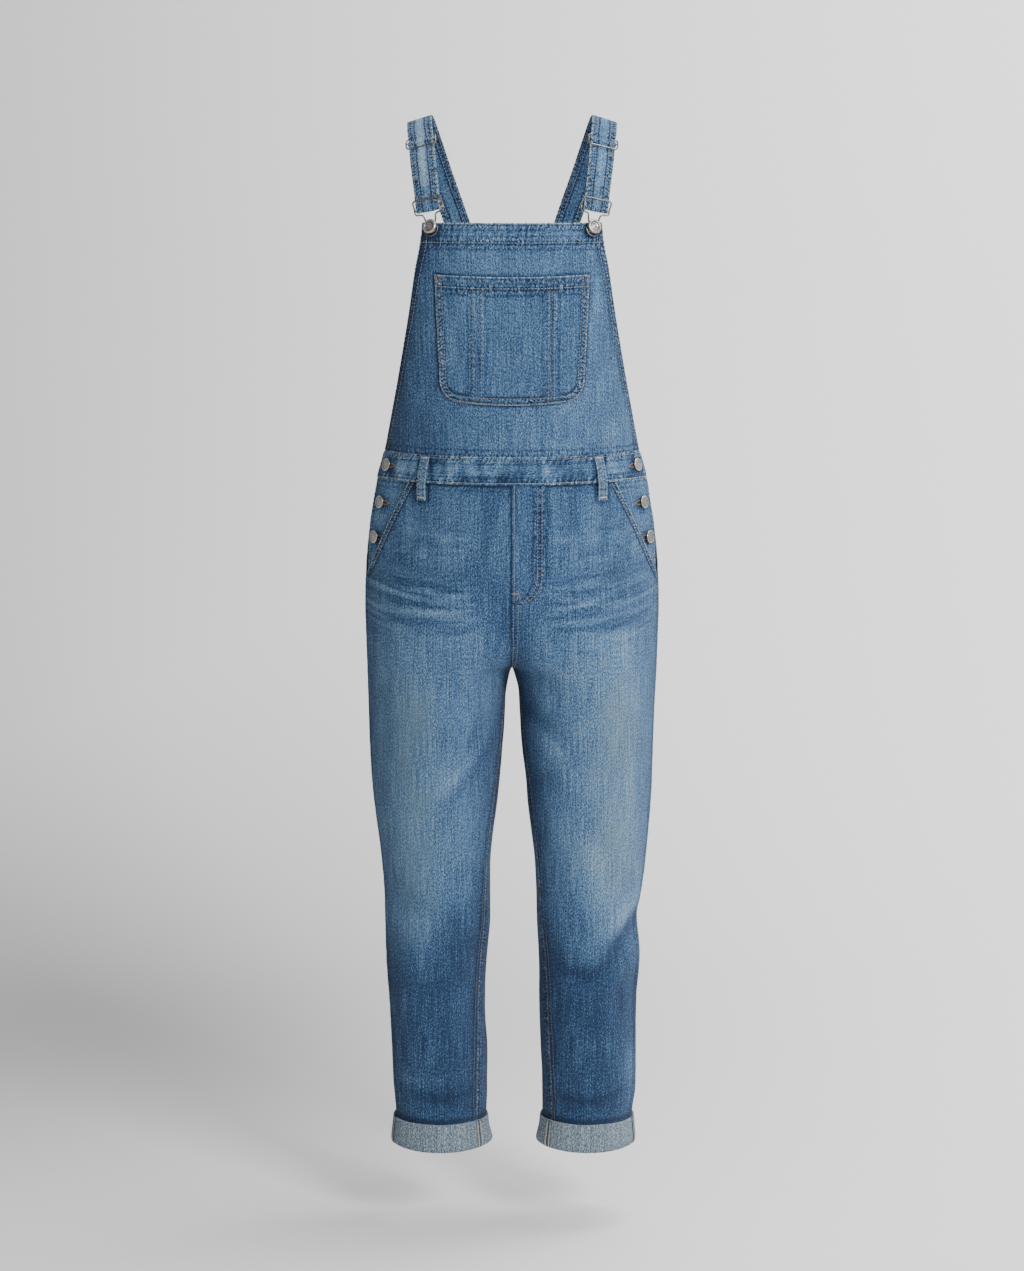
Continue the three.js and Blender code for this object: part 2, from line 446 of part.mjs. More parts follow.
// Rounded outline in a plane, from corner rows [x, y, radius].
const outline = (corners, steps = 3) => corners.flatMap(([x, y, r], i) => {
  const a = corners[(i + corners.length - 1) % corners.length], b = corners[(i + 1) % corners.length];
  const da = new THREE.Vector2(a[0] - x, a[1] - y), db = new THREE.Vector2(b[0] - x, b[1] - y);
  da.setLength(Math.min(r, da.length() * 0.49)); db.setLength(Math.min(r, db.length() * 0.49));
  return range(0, 1, steps).map((k) => [x + da.x * (1 - k) ** 2 + db.x * k * k, y + da.y * (1 - k) ** 2 + db.y * k * k]);
});
{
  const s = strapFrame(SLIDER_AT), e = strapFrame(1);
  const pitch = (SLIDER.height - WIRE) / 2, swing = HALF + 1;
  const lengthTo = (u) => strapFrame(u).p.sub(s.p).dot(s.t);
  const uAt = (d) => { // the place on the path at this distance from the slider's middle, toward the clasp
    let a = SLIDER_AT - 0.15, b = Math.min(1, SLIDER_AT + 0.15);
    for (let i = 0; i < 40; i++) { const m = (a + b) / 2; if (lengthTo(m) < d) a = m; else b = m; }
    return (a + b) / 2;
  };
  const row = (u, off, flip = 1) => { const f = strapFrame(u); return { p: f.p.addScaledVector(f.n, off), w: f.w, n: f.n.multiplyScalar(flip) }; };
  const flat = (d, off, flip = 1) => ({ p: s.p.clone().addScaledVector(s.t, d).addScaledVector(s.n, off), w: s.w, n: s.n.clone().multiplyScalar(flip) });
  // The front layer goes in behind the slider's upper bar, out over the middle one and in behind the lower one: [distance, offset].
  const WEAVE = [[-pitch - 4.5, -swing * 0.72], [-pitch - 1.5, -swing], [-pitch + 1.5, -swing], [-pitch / 2, 0], [-1.5, swing], [1.5, swing],
    [pitch / 2, 0], [pitch - 1.5, -swing], [pitch + 1.5, -swing], [pitch + 4.5, -swing * 0.72]];
  const lead = pitch + 14;
  const front = [
    ...range(0, uAt(-lead - 6), 15).map((u) => row(u, 0)), row(uAt(-lead + 4), -swing * 0.22),
    ...WEAVE.map(([d, off]) => flat(d, off)), row(uAt(lead - 4), -swing * 0.22), ...range(uAt(lead + 6), 1, 5).map((u) => row(u, 0)),
  ];
  // Round the clasp's middle bar and back up behind the front layer to the slider.
  const bend = HALF + 0.3;
  const bar = e.p.clone().addScaledVector(e.n, -bend);
  const turn = range(0, 180, 6).slice(1).map((a) => ({
    p: bar.clone().addScaledVector(e.n, bend * Math.cos(rad(a))).addScaledVector(e.t, bend * Math.sin(rad(a))),
    w: e.w, n: e.n.clone().multiplyScalar(Math.cos(rad(a))).addScaledVector(e.t, Math.sin(rad(a))),
  }));
  const under = STRAP.thick + 0.7;
  const backLayer = [
    ...range(1, uAt(lead + 6), 4).slice(1).map((u) => row(u, -under - (2 * bend - under) * (1 - smooth((1 - u) / 0.05)), -1)),
    row(uAt(lead - 4), -swing * 0.22 - under, -1), flat(pitch + 4.5, -swing * 0.72 - under, -1), flat(pitch + 1, -swing - under, -1),
    flat(pitch - 2, -swing - under + 0.4, -1), flat(2.5, -HALF - 0.6, -1), flat(-1, -HALF - 0.5, -1),
  ];
  const h = STRAP.width / 2, t = STRAP.thick / 2;
  const rings = [...front, ...turn, ...backLayer].map(({ p, w, n }) => [[-h, -t], [h, -t], [h, t], [-h, t]]
    .map(([a, b]) => p.clone().addScaledVector(w, a).addScaledVector(n, b)));
  for (const side of [-1, 1]) add(`strap_${tag(side)}`, sweep(rings.map((r) => mirrored(r, side)), false), 'denim');

  // Slider: a frame and its middle bar, all in one plane.
  const W = SLIDER.width / 2 - WIRE / 2;
  const inSlider = ([x, y]) => s.p.clone().addScaledVector(s.w, x).addScaledVector(s.t, y);
  const frame = outline([[-W, -pitch, 4], [W, -pitch, 4], [W, pitch, 4], [-W, pitch, 4]]).map(inSlider);
  const slider = solid(wireLoop(frame, s.n, WIRE / 2)).add(solid(wireBar(inSlider([-W, 0]), inSlider([W, 0]), WIRE / 2 * 0.96, s.n)));

  // Clasp: a wide frame with a top bar in front of the strap and a middle bar in its fold, then a neck and an eye round the button's shank.
  const top = -CLASP.bars, C = CLASP.width / 2 - WIRE / 2, N = CLASP.neck / 2 - WIRE / 2, R = CLASP.ring;
  const button = bibButtonFoot(-1);
  const eyeAt = button.foot.clone().addScaledVector(button.axis, 3.3);
  const reach = eyeAt.distanceTo(bar);
  const dir = eyeAt.clone().sub(bar).normalize();
  const a1 = e.w.clone().addScaledVector(button.axis, -e.w.dot(button.axis)).normalize();
  const a2 = button.axis.clone().cross(a1).normalize();
  if (a2.z > 0) a2.negate();
  const claspPoint = ([x, y]) => {
    const lift = (bend + STRAP.thick / 2 + 0.4 + WIRE / 2) * smooth((-y - 1) / (CLASP.bars - 2));
    const inFrame = bar.clone().addScaledVector(e.w, x).addScaledVector(y < 0 ? e.t : dir, y).addScaledVector(e.n, lift);
    const inEye = eyeAt.clone().addScaledVector(a1, x).addScaledVector(a2, y - reach);
    return inFrame.lerp(inEye, smooth((y - 7) / (reach - R - 7)));
  };
  const half = outline([[-C, top, 5], [C, top, 5], [C, 5.4, 4], [N + 0.6, 6.0, 4], [N - 0.6, reach - 8, 5], [R * 0.92, reach - 2.6, 2], [0, reach + 30, 0]]).slice(4, 24);
  const eye = range(20, 160, 6).map((a) => [Math.cos(rad(a)) * R, reach + Math.sin(rad(a)) * R]);
  const loop = [...half, [R * 1.0, reach - 0.5], ...eye, [-R * 1.0, reach - 0.5], ...half.slice().reverse().map(([a, b]) => [-a, b])].map(claspPoint);
  const facing = e.n.clone().lerp(button.axis, 0.5).normalize();
  const clasp = solid(wireLoop(loop, facing, WIRE / 2)).add(solid(wireBar(claspPoint([-C, 0]), claspPoint([C, 0]), WIRE / 2 * 0.96, facing)));
  for (const side of [-1, 1]) {
    const turned = (m) => (side < 0 ? m : m.mirror([1, 0, 0]));
    add(`slider_${tag(side)}`, geometryOf(turned(slider)), 'wire_metal');
    add(`clasp_${tag(side)}`, geometryOf(turned(clasp)), 'wire_metal');
  }
}

// ---------- buttons ----------
function lathe(profile, segments = 14) { return new THREE.LatheGeometry(profile.map(([r, y]) => new THREE.Vector2(r, y)), segments); }
function bibButtonFoot(side) {
  const z = -145, x = 103.5;
  const a = bibAngle(BIB, z, x);
  const foot = onBib(BIB, -1, z, side < 0 ? Math.PI - a : a, GAP);
  const far = onBib(BIB, -1, z, side < 0 ? Math.PI - a : a, 5);
  const axis = far.sub(foot).normalize();
  axis.z += 0.22;
  return { foot, axis: axis.normalize() };
}
function seat(foot, axis) {
  const o = new THREE.Object3D();
  o.position.copy(foot);
  o.quaternion.setFromUnitVectors(V(0, 1, 0), axis);
  return o;
}
for (const side of [-1, 1]) {
  const { foot, axis } = bibButtonFoot(side);
  const B = BIB_BUTTON;
  const start = foot.clone().addScaledVector(axis, 0.9);
  add(`bib_button_${tag(side)}`, lathe([[0, 0], [B.shank, 0], [B.shank, B.stand - 1], [B.radius - 1.4, B.stand - 0.9], [B.radius, B.stand],
    [B.radius, B.stand + B.thick - 1.2], [B.radius - 1.2, B.stand + B.thick], [B.radius - 2.8, B.stand + B.thick - 0.6], [0, B.stand + B.thick - 0.4]]), 'button_metal', seat(start, axis));
  for (const [n, z, x] of SIDE_BUTTONS) {
    const a = angleOfX(side, z, x), S = SIDE_BUTTON;
    const base = n === 1 ? 0.6 : 0;
    const at = onBody(side, z, a, base + GAP + 0.25);
    const dir = onBody(side, z, a, base + 8).sub(at).normalize();
    add(`side_button_${tag(side)}${n}`, lathe([[0, 0], [S.shank, 0], [S.shank, 0.9], [S.radius - 0.8, 1.1], [S.radius, 1.8], [S.radius, S.thick],
      [S.radius - 0.8, S.thick + 0.9], [S.radius - 2.2, S.thick + 0.6], [0, S.thick + 0.5]]), 'button_metal', seat(at, dir));
  }
}

export default group;
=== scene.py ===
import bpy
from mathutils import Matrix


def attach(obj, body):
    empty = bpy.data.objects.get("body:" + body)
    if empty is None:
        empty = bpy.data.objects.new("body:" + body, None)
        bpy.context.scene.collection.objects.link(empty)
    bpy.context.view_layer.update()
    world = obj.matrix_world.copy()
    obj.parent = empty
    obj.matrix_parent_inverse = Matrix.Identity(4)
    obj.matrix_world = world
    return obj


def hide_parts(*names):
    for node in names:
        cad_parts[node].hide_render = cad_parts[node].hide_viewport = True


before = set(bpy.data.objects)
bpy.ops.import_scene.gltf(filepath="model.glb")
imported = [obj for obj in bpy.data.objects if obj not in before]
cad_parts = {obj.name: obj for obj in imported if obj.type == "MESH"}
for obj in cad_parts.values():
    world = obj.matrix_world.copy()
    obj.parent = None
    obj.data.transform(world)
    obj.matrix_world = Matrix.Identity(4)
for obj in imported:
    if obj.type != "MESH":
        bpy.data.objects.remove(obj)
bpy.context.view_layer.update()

import math

import bpy
import numpy as np

MM = 0.001
PI = math.pi

# ---------------------------------------------------------------- sizes, in millimetres
CLOTH, DOUBLE, GAP = 1.2, 2.4, 0.3
WAIST_TOP, WAIST_BOTTOM, CROTCH, HEM = -443.0, -480.0, -736.0, -1383.0
CUFF_TOP, CUFF_BOTTOM = -1361.0, -1399.6
BIB_TOP, BACK_BIB_TOP, BIB_EXP = -138.0, -262.0, 2.3
POCKET_TOP, POCKET_BOTTOM, POCKET_HALF_TOP, POCKET_HALF_BOTTOM, POCKET_CORNER = -205.0, -370.0, 100.0, 93.0, 26.0
SLANT_X0, SLANT_Z0, SLANT_X1, SLANT_Z1 = 137.0, -480.0, 196.5, -614.0
STRAP_WIDTH, WIRE = 34.0, 2.2

# z, out left, in left, out right, in right, front depth, back depth, middle y, p, q
BODY = [
    [-443, 170.0, -170.0, 170.0, -170.0, 103, 92, 0, 2.20, 0.80], [-480, 180.5, -180.5, 180.5, -180.5, 104, 96, 0, 2.20, 0.80],
    [-511, 186.0, -186.0, 186.0, -186.0, 107, 103, 0, 2.20, 0.80], [-560, 193.0, -192.0, 193.0, -192.0, 112, 114, 0, 2.20, 0.80],
    [-600, 196.2, -172.0, 196.2, -172.0, 115, 122, 0, 2.18, 0.77], [-650, 197.4, -121.0, 197.4, -121.0, 117, 126, 0, 2.12, 0.70],
    [-685, 196.5, -75.0, 196.5, -75.0, 116.5, 123.5, 0, 2.08, 0.64], [-710, 195.6, -41.0, 195.6, -41.0, 114.5, 119.5, 0, 2.05, 0.60],
    [-725, 195.1, -18.0, 195.1, -18.0, 113, 117, 0, 2.03, 0.57], [-736, 194.7, 0.1, 194.7, 0.1, 111.7, 115, 0, 2.01, 0.56],
    [-748, 194.4, 4.6, 194.2, 4.8, 110.2, 113, 0, 2.00, 0.55], [-766, 193.9, 7.4, 193.2, 8.6, 107.8, 109.6, 0, 2.00, 0.53],
    [-828, 192.6, 11.8, 191.0, 13.4, 99, 100, 0, 2.00, 0.51], [-893, 189.4, 17.4, 189.4, 20.0, 89.5, 91, 0, 2.00, 0.50],
    [-1000, 177.0, 28.5, 181.5, 29.2, 77.5, 79, -5, 2.00, 0.50], [-1046, 173.6, 29.8, 175.3, 31.8, 73, 75, -8, 2.00, 0.50],
    [-1076, 173.0, 30.1, 170.0, 33.3, 72, 73, -8, 2.00, 0.50], [-1137, 171.9, 34.5, 173.9, 37.2, 69, 70, -4, 2.00, 0.50],
    [-1197, 168.4, 36.1, 170.6, 38.7, 67, 68, 0, 2.00, 0.50], [-1259, 165.7, 34.3, 170.3, 38.3, 65, 66, 4, 2.00, 0.50],
    [-1320, 163.3, 34.4, 169.9, 40.5, 63, 64, 7, 2.00, 0.50], [-1360, 160.5, 35.8, 165.3, 41.9, 62, 62, 8, 2.00, 0.50],
    [-1400, 162.0, 34.6, 166.0, 40.4, 62, 62, 8, 2.00, 0.50],
]
# z, outseam angle, inseam angle
SEAMS = [
    [-443, -4, 0], [-480, -4, 0], [-600, 0, 0], [-640, 2, 0], [-736, 3, 0], [-760, 3.5, 7], [-800, 5, 12],
    [-893, 7, 18], [-1000, 9, 23], [-1076, 10, 26], [-1197, 12.5, 31], [-1259, 13.5, 35], [-1320, 14.5, 37], [-1400, 16, 37],
]
# z, half width of the cloth, half width of the curve, depth, q
BIB = [
    [-137, 117.0, 150, 105, 0.435], [-164, 120.0, 150, 109, 0.435], [-197, 126.5, 151, 112, 0.44], [-256, 135.5, 153, 113, 0.46],
    [-300, 143.0, 156, 112, 0.50], [-350, 152.0, 161, 108.5, 0.58], [-402, 162.0, 166, 105, 0.70], [-443, 169.9, 170, 103, 0.80],
]
BACK = [
    [-262, 56.0, 152, 92, 0.45], [-300, 66.0, 154, 93, 0.48], [-350, 90.0, 159, 93.5, 0.56], [-400, 120.0, 165, 93, 0.68],
    [-430, 150.0, 168.5, 92, 0.76], [-443, 169.9, 170, 92, 0.80],
]
# x, y, z of a strap's middle, then the direction from its inner to its outer edge, for the left one
STRAP_PATH = [
    [-31.0, 96.4, -296, -0.95, 0.00, -0.31], [-40.0, 96.6, -262, -0.95, 0.00, -0.31], [-57.5, 94.5, -200, -0.95, 0.02, -0.31],
    [-75.0, 88.5, -142, -0.95, 0.06, -0.31], [-95.0, 74.0, -84, -0.95, 0.10, -0.31], [-110.0, 51.0, -38, -0.955, 0.08, -0.30],
    [-119.0, 24.0, -10, -0.955, 0.04, -0.298], [-122.0, 0.0, -5, -0.955, 0.00, -0.297], [-121.6, -24.0, -12, -0.955, 0.06, -0.28],
    [-119.8, -46.0, -32, -0.955, 0.15, -0.25], [-116.5, -64.0, -60, -0.94, 0.24, -0.23], [-112.6, -78.0, -90, -0.925, 0.30, -0.225],
    [-109.4, -87.0, -120, -0.921, 0.326, -0.225],
]
SIDE_BUTTONS = [(1, -461.5, 165.5), (2, -511.0, 175.0), (3, -558.0, 183.0)]


# ---------------------------------------------------------------- small mathematics
class Table:
    """Columns against height: cubic between rows, with slopes that never overshoot."""

    def __init__(self, rows):
        a = np.array(rows, float)
        self.s, self.v = -a[:, 0], a[:, 1:]
        d = np.diff(self.v, axis=0) / np.diff(self.s)[:, None]
        m = np.zeros_like(self.v)
        m[0], m[-1] = d[0], d[-1]
        p = d[:-1] * d[1:]
        with np.errstate(divide="ignore", invalid="ignore"):
            m[1:-1] = np.where(p > 0, 2 * p / (d[:-1] + d[1:]), 0.0)
        self.m = m

    def __call__(self, z):
        s = np.clip(-np.asarray(z, float), self.s[0], self.s[-1])
        i = np.clip(np.searchsorted(self.s, s, side="right") - 1, 0, len(self.s) - 2)
        h = self.s[i + 1] - self.s[i]
        t = ((s - self.s[i]) / h)[..., None]
        h = h[..., None]
        t2, t3 = t * t, t * t * t
        return (2 * t3 - 3 * t2 + 1) * self.v[i] + (t3 - 2 * t2 + t) * h * self.m[i] + (3 * t2 - 2 * t3) * self.v[i + 1] + (t3 - t2) * h * self.m[i + 1]


T_BODY, T_SEAMS, T_BIB, T_BACK = Table(BODY), Table(SEAMS), Table(BIB), Table(BACK)


def spow(v, e):
    return np.sign(v) * np.abs(v) ** e


def smooth(t):
    t = np.clip(t, 0.0, 1.0)
    return t * t * (3 - 2 * t)


def unit(v):
    return v / np.maximum(np.linalg.norm(v, axis=-1, keepdims=True), 1e-12)


def xyz(x, y, z):
    return np.stack(np.broadcast_arrays(x, y, z), axis=-1).astype(float)


_lattice = np.random.default_rng(11).random((256, 256))


def noise(x, y, scale, seed=0):
    """Smooth noise from -1 to 1 with bumps about `scale` mm across."""
    x, y = np.asarray(x, float) / scale + seed * 17.13, np.asarray(y, float) / scale + seed * 5.71
    i, j = np.floor(x).astype(int), np.floor(y).astype(int)
    u, v = smooth(x - i), smooth(y - j)
    a, b = _lattice[i % 256, j % 256], _lattice[(i + 1) % 256, j % 256]
    c, d = _lattice[i % 256, (j + 1) % 256], _lattice[(i + 1) % 256, (j + 1) % 256]
    return 2 * ((a * (1 - u) + b * u) * (1 - v) + (c * (1 - u) + d * u) * v) - 1


def folds(table, x, z):
    """Sum of soft ridges (height above 0) and troughs along three-point curves.
    Rows are x0, z0, x1, z1, x2, z2 (mm), width, height, and how much steeper the lower side is."""
    total = np.zeros(np.broadcast(x, z).shape)
    for x0, z0, x1, z1, x2, z2, width, height, skew in table:
        near = (x > min(x0, x1, x2) - 4 * width) & (x < max(x0, x1, x2) + 4 * width) & (z > min(z0, z1, z2) - 4 * width) & (z < max(z0, z1, z2) + 4 * width)
        if not near.any():
            continue
        px, pz = x[near], z[near]
        best = np.full(px.shape, 1e9)
        at, sign = np.zeros(px.shape), np.ones(px.shape)
        ts = np.linspace(0, 1, 15)
        cx = (1 - ts) ** 2 * x0 + 2 * ts * (1 - ts) * (2 * x1 - (x0 + x2) / 2) + ts ** 2 * x2
        cz = (1 - ts) ** 2 * z0 + 2 * ts * (1 - ts) * (2 * z1 - (z0 + z2) / 2) + ts ** 2 * z2
        for k in range(len(ts) - 1):
            ax, az, bx, bz = cx[k], cz[k], cx[k + 1], cz[k + 1]
            dx, dz = bx - ax, bz - az
            t = np.clip(((px - ax) * dx + (pz - az) * dz) / (dx * dx + dz * dz), 0, 1)
            qx, qz = px - ax - t * dx, pz - az - t * dz
            d = np.hypot(qx, qz)
            closer = d < best
            best = np.where(closer, d, best)
            at = np.where(closer, ts[k] + t * (ts[k + 1] - ts[k]), at)
            sign = np.where(closer, np.sign(dx * qz - dz * qx), sign)
        w = width * np.where(sign > 0, 1 + skew, 1 - skew)
        total[near] += height * np.exp(-(best / w) ** 2) * np.sin(PI * np.clip(at, 0.02, 0.98)) ** 0.7
    return total


# ---------------------------------------------------------------- the surfaces that the cloth lies on
def section(side, z):
    z = np.asarray(z, float)
    r = T_BODY(z)
    soft = sum(T_BODY(np.minimum(z + d, WAIST_BOTTOM)) for d in (-18, -9, 0, 9, 18)) / 5
    k = smooth((-500 - z) / 30)[..., None]
    r = np.concatenate([r[..., :4], r[..., 4:] * (1 - k) + soft[..., 4:] * k], -1)
    out, inn = (r[..., 0], r[..., 1]) if side < 0 else (r[..., 2], r[..., 3])
    return (out + inn) / 2, (out - inn) / 2, r[..., 4], r[..., 5], r[..., 6], r[..., 7], r[..., 8]


def body_point(side, z, a):
    c, w, front, back, mid, p, q = section(side, z)
    k = spow(np.sin(a), 2 * q)
    return xyz(side * (c + w * spow(np.cos(a), 2 / p)), mid - np.where(k > 0, front, back) * k, z)


def body_normal(side, z, a):
    tu = body_point(side, z, a + 0.05) - body_point(side, z, a - 0.05)
    tv = body_point(side, z + 3, a) - body_point(side, z - 3, a)
    return unit(np.cross(tu, tv)) * -side


def angle_of_x(side, z, x):
    c, w, _, _, _, p, _ = section(side, z)
    return np.arccos(np.clip(spow((x - c) / w, p / 2), -1, 1))


def outseam(z):
    return np.radians(T_SEAMS(z)[..., 0])


def inseam(z):
    return np.radians(T_SEAMS(z)[..., 1])


def along(side, z, a, distance):
    """The angle a small distance along the surface at the same height."""
    z = np.asarray(z, float)
    start = body_point(side, z, a)
    step = np.full(z.shape, 1e-4)
    way = np.sign(distance)
    for _ in range(60):
        short = np.linalg.norm(body_point(side, z, a + way * step) - start, axis=-1) < abs(distance)
        if not short.any():
            break
        step = np.where(short, step * 1.15, step)
    return a + way * step


def slant_x(z):
    t = (SLANT_Z0 - z) / (SLANT_Z0 - SLANT_Z1)
    return SLANT_X0 + (SLANT_X1 - SLANT_X0) * (t + 0.18 * t * (1 - t))


def front_start(side, z):
    seam = along(side, z, outseam(z), GAP / 2)
    return np.where(z < SLANT_Z1, seam, np.maximum(seam, angle_of_x(side, z, slant_x(np.maximum(z, SLANT_Z1)))))


def inner_end(side, z):
    return np.where(z > CROTCH, angle_of_x(side, z, 0.0), along(side, z, PI - inseam(z), -GAP / 2))


def back_span(side, z):
    return along(side, z, outseam(z), -GAP / 2), np.where(z > CROTCH, -angle_of_x(side, z, 0.0), along(side, z, -PI - inseam(z), GAP / 2))


def bib_point(table, sign, z, a):
    r = table(z)
    return xyz(r[..., 1] * spow(np.cos(a), 2 / BIB_EXP), sign * r[..., 2] * np.abs(np.sin(a)) ** (2 * r[..., 3]), z)


def bib_normal(table, sign, z, a):
    tu = bib_point(table, sign, z, a + 0.04) - bib_point(table, sign, z, a - 0.04)
    tv = bib_point(table, sign, z + 3, a) - bib_point(table, sign, z - 3, a)
    return unit(np.cross(tu, tv)) * sign


def bib_angle(table, z, x):
    return np.arccos(np.clip(spow(x / table(z)[..., 1], BIB_EXP / 2), -1, 1))


# ---------------------------------------------------------------- where the cloth is faded, and where shade is painted on it, in x and z seen from the front
WHISKERS = [  # as folds(): above 0 is paler
    [52, -612, 118, -613, 192, -603, 5.0, 0.10, 0], [52, -624, 118, -626, 192, -613, 4.0, -0.26, 0], [56, -637, 118, -640, 190, -628, 5.0, 0.20, 0],
    [66, -647, 120, -648, 190, -633, 3.6, -0.24, 0], [56, -657, 120, -659, 190, -646, 5.5, 0.22, 0], [60, -668, 118, -671, 176, -660, 4.0, -0.20, 0],
    [96, -680, 140, -684, 186, -676, 6.0, 0.16, 0], [50, -690, 90, -702, 130, -706, 5.5, -0.16, 0], [120, -690, 150, -690, 186, -686, 4.0, -0.18, 0],
    [30, -716, 66, -730, 100, -740, 7.0, 0.10, 0], [20, -700, 60, -712, 96, -720, 7.0, -0.14, 0],
    [-190, -611, -120, -616, -52, -610, 5.0, -0.20, 0], [-190, -622, -120, -628, -48, -622, 4.5, 0.18, 0], [-190, -634, -118, -640, -46, -632, 4.0, -0.15, 0],
    [-190, -647, -118, -652, -50, -645, 5.0, 0.15, 0], [-190, -660, -118, -666, -60, -660, 4.5, -0.16, 0], [-180, -676, -120, -682, -66, -676, 6.0, 0.10, 0],
    [-96, -720, -60, -714, -20, -700, 8.0, -0.12, 0], [-112, -536, -92, -556, -60, -570, 8.0, 0.16, 0], [112, -536, 80, -545, 56, -552, 7.0, 0.14, 0],
    [-170, -590, -140, -575, -120, -545, 7.0, -0.14, 0], [176, -596, 150, -575, 130, -545, 7.0, -0.14, 0],
]
LOOSE = [  # pale ridges and dark hollows away from the hips
    [24, -790, 44, -820, 74, -846, 6, 0.14, 0], [16, -772, 34, -806, 60, -836, 6, -0.10, 0], [-15, -767, -55, -849, -109, -904, 8, 0.09, 0],
    [-12, -790, -50, -866, -100, -920, 9, -0.08, 0], [176, -1032, 150, -1068, 118, -1098, 12, 0.12, 0], [171, -1056, 148, -1099, 122, -1136, 11, -0.18, 0],
    [128, -1134, 96, -1146, 56, -1134, 9, -0.14, 0], [72, -1010, 84, -1056, 104, -1090, 16, -0.12, 0], [100, -960, 112, -990, 116, -1020, 13, 0.12, 0],
    [158, -1240, 160, -1290, 154, -1340, 7, 0.13, 0], [-150, -1000, -132, -1040, -100, -1060, 13, -0.08, 0], [-150, -1314, -97, -1324, -44, -1312, 8, -0.16, 0],
    [46, -1316, 106, -1328, 160, -1309, 8, -0.16, 0], [-160, -1296, -120, -1300, -70, -1290, 8, 0.08, 0], [-172, -640, -176, -760, -172, -900, 7, 0.08, 0],
    [150, -800, 160, -860, 158, -960, 7, 0.10, 0],
]
CREASES = [  # on the fronts: x0, z0, x1, z1, x2, z2, width, height, skew
    [52, -624, 118, -626, 192, -613, 5.0, -0.9, 0.2], [56, -637, 118, -640, 190, -628, 6.0, 0.8, 0], [66, -647, 120, -648, 190, -633, 5.0, -0.8, 0.2],
    [56, -657, 120, -659, 190, -646, 6.0, 0.7, 0], [60, -668, 118, -671, 176, -660, 5.0, -0.7, 0.2],
    [-190, -611, -120, -616, -52, -610, 6.0, -0.9, 0.2], [-190, -634, -118, -640, -46, -632, 6.0, -0.8, 0.1], [-190, -660, -118, -666, -60, -660, 6.0, -0.8, 0.2],
    [-190, -622, -120, -628, -48, -622, 6.5, 0.8, 0], [-190, -647, -118, -652, -50, -645, 6.5, 0.7, 0],
    # from the crotch out over the thighs
    [8, -728, 50, -752, 110, -768, 14, -1.3, 0.3], [8, -744, 44, -776, 90, -806, 14, 1.8, 0], [10, -770, 42, -812, 84, -846, 13, -2.0, 0.3],
    [-8, -728, -50, -752, -106, -766, 14, -1.3, -0.3], [-8, -746, -44, -780, -88, -812, 14, 2.0, 0], [-12, -776, -46, -818, -92, -852, 13, -2.2, -0.3],
    [-14, -812, -52, -852, -100, -884, 14, 1.6, 0], [16, -812, 48, -850, 88, -880, 15, 1.6, 0], [-20, -856, -60, -892, -112, -918, 12, -1.5, -0.3],
    [20, -860, 56, -896, 96, -920, 13, -1.3, 0.3],
    # over the knees and down the shins
    [171, -1058, 146, -1102, 120, -1134, 13, -4.2, 0.45], [176, -1030, 150, -1066, 116, -1096, 17, 3.4, 0], [124, -1136, 92, -1146, 52, -1132, 10, -3.0, 0.35],
    [150, -1112, 112, -1118, 60, -1108, 13, 2.2, 0], [176, -1104, 162, -1132, 140, -1152, 11, 1.8, 0], [172, -1148, 150, -1176, 118, -1196, 13, -1.6, 0.3],
    [40, -1160, 78, -1182, 120, -1186, 14, -1.5, -0.2], [164, -1226, 130, -1246, 92, -1248, 13, 1.4, 0], [50, -1230, 84, -1256, 120, -1262, 14, -1.4, -0.2],
    [-172, -1006, -140, -1042, -96, -1062, 16, -2.4, -0.35], [-40, -1010, -74, -1046, -112, -1066, 15, 1.9, 0], [-172, -1066, -138, -1090, -92, -1096, 15, 1.8, 0],
    [-42, -1086, -78, -1112, -120, -1120, 14, -2.0, 0.3], [-168, -1136, -132, -1158, -90, -1160, 15, -1.6, -0.3], [-44, -1166, -76, -1190, -112, -1200, 14, 1.4, 0],
    [-164, -1214, -130, -1236, -86, -1240, 14, -1.5, -0.2], [-42, -1262, -70, -1284, -104, -1290, 12, 1.3, 0],
    # broken over the cuffs
    [-160, -1316, -120, -1336, -60, -1330, 9, -2.2, -0.3], [-150, -1334, -100, -1352, -44, -1344, 8, 1.8, 0], [-120, -1296, -84, -1310, -44, -1300, 10, 1.3, 0],
    [44, -1320, 92, -1344, 150, -1330, 9, -2.3, 0.3], [48, -1340, 100, -1356, 160, -1346, 8, 1.8, 0], [84, -1290, 126, -1308, 164, -1296, 11, 1.3, 0],
    # from the pockets and belt loops
    [-116, -500, -96, -548, -60, -574, 11, 1.4, 0], [-134, -506, -120, -552, -102, -588, 10, -1.5, 0.2], [116, -500, 96, -540, 60, -560, 11, 1.3, 0],
    [136, -506, 122, -552, 104, -590, 10, -1.4, -0.2], [-60, -490, -46, -560, -40, -640, 12, -1.2, 0], [66, -490, 74, -560, 84, -606, 13, 1.0, 0],
    [-176, -630, -168, -700, -172, -800, 12, -1.3, 0], [176, -640, 170, -720, 174, -820, 12, -1.4, 0],
]
